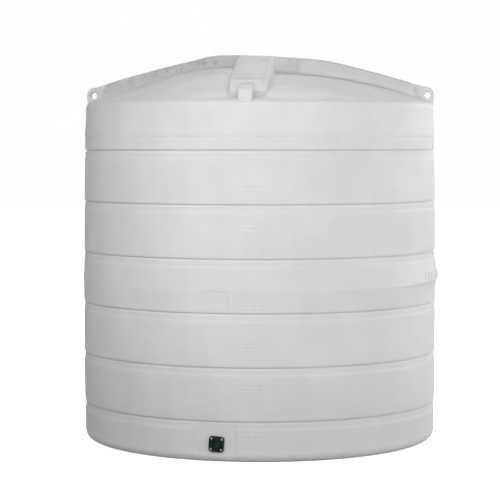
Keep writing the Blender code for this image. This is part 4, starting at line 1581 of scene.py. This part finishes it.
def build_camera():
    """The camera at the photograph's angle."""
    stage = bpy.context.scene.tank_stage
    data = bpy.data.cameras.new("camera")
    data.lens = stage.lens
    data.sensor_width = 36.0
    data.clip_end = 500.0
    camera = bpy.data.objects.new("camera", data)
    bpy.context.scene.collection.objects.link(camera)
    camera.location = outward(math.degrees(stage.azimuth)) * stage.distance + Vector((0.0, 0.0, stage.height))
    camera.rotation_euler = (math.pi / 2 + stage.pitch, 0.0, stage.azimuth + stage.turn)
    bpy.context.scene.camera = camera


def build_stage():
    """Floor, lamps, sky and camera."""
    build_floor()
    for name, setting in LAMPS.items():
        build_lamp(name, *setting)
    build_world()
    build_camera()
    bpy.context.scene.view_settings.view_transform = "Standard"


# Operators, one for each group of like pieces

class TANK_OT_wall_bands(bpy.types.Operator):
    """Models the seven grooved bands of the wall"""

    bl_idname = "tank.wall_bands"
    bl_label = "Wall bands"

    def execute(self, context):
        build_wall_bands()
        return {"FINISHED"}


class TANK_OT_side_bars(bpy.types.Operator):
    """Models the row of upright bars on the right side"""

    bl_idname = "tank.side_bars"
    bl_label = "Side bars"

    def execute(self, context):
        build_side_bars()
        return {"FINISHED"}


class TANK_OT_roof_panels(bpy.types.Operator):
    """Models the four domed roof panels"""

    bl_idname = "tank.roof_panels"
    bl_label = "Roof panels"

    def execute(self, context):
        build_roof_panels()
        return {"FINISHED"}


class TANK_OT_ribs(bpy.types.Operator):
    """Models the crown and the four box ribs"""

    bl_idname = "tank.ribs"
    bl_label = "Crown and ribs"

    def execute(self, context):
        build_ribs()
        return {"FINISHED"}


class TANK_OT_lugs(bpy.types.Operator):
    """Models the four tie-down lugs"""

    bl_idname = "tank.lugs"
    bl_label = "Tie-down lugs"

    def execute(self, context):
        build_lugs()
        return {"FINISHED"}


class TANK_OT_outlet(bpy.types.Operator):
    """Models the bolted outlet with its plug"""

    bl_idname = "tank.outlet"
    bl_label = "Outlet"

    def execute(self, context):
        build_outlet()
        return {"FINISHED"}


class TANK_OT_manway(bpy.types.Operator):
    """Models the manway's neck, lid and vent"""

    bl_idname = "tank.manway"
    bl_label = "Manway"

    def execute(self, context):
        build_manway()
        return {"FINISHED"}


class TANK_OT_base_floor(bpy.types.Operator):
    """Finishes the floor disc of the frame"""

    bl_idname = "tank.base_floor"
    bl_label = "Base floor"

    def execute(self, context):
        finish_base_floor()
        return {"FINISHED"}


class TANK_OT_stage(bpy.types.Operator):
    """Sets up the floor, the lamps, the sky and the camera"""

    bl_idname = "tank.stage"
    bl_label = "Stage"

    def execute(self, context):
        build_stage()
        return {"FINISHED"}


OPERATORS = (
    TANK_OT_wall_bands, TANK_OT_side_bars, TANK_OT_roof_panels, TANK_OT_ribs, TANK_OT_lugs,
    TANK_OT_outlet, TANK_OT_manway, TANK_OT_base_floor, TANK_OT_stage,
)


class TANK_PT_panel(bpy.types.Panel):
    """Lists the tank's pieces, sizes and colours"""

    bl_idname = "TANK_PT_panel"
    bl_label = "Storage tank"
    bl_space_type = "VIEW_3D"
    bl_region_type = "UI"
    bl_category = "Tank"

    def draw(self, context):
        layout = self.layout
        for operator in OPERATORS:
            layout.operator(operator.bl_idname)
        for group in (context.scene.tank_sizes, context.scene.tank_colours, context.scene.tank_stage):
            box = layout.box()
            for key in type(group).__annotations__:
                box.prop(group, key)


GROUPS = {"tank_sizes": TankSizes, "tank_colours": TankColours, "tank_stage": TankStage}


def register():
    """Registers the classes and adds the settings to the scene."""
    for group in GROUPS.values():
        bpy.utils.register_class(group)
    for operator in OPERATORS:
        bpy.utils.register_class(operator)
    bpy.utils.register_class(TANK_PT_panel)
    for name, group in GROUPS.items():
        setattr(bpy.types.Scene, name, PointerProperty(type=group))


def unregister():
    """Takes all of that away again."""
    for name in GROUPS:
        delattr(bpy.types.Scene, name)
    for made in (TANK_PT_panel, *reversed(OPERATORS), *reversed(GROUPS.values())):
        bpy.utils.unregister_class(made)


def main():
    """Builds the tank piece by piece."""
    register()
    for operator in OPERATORS:
        group, name = operator.bl_idname.split(".")
        getattr(getattr(bpy.ops, group), name)()


if __name__ == "__main__":
    main()
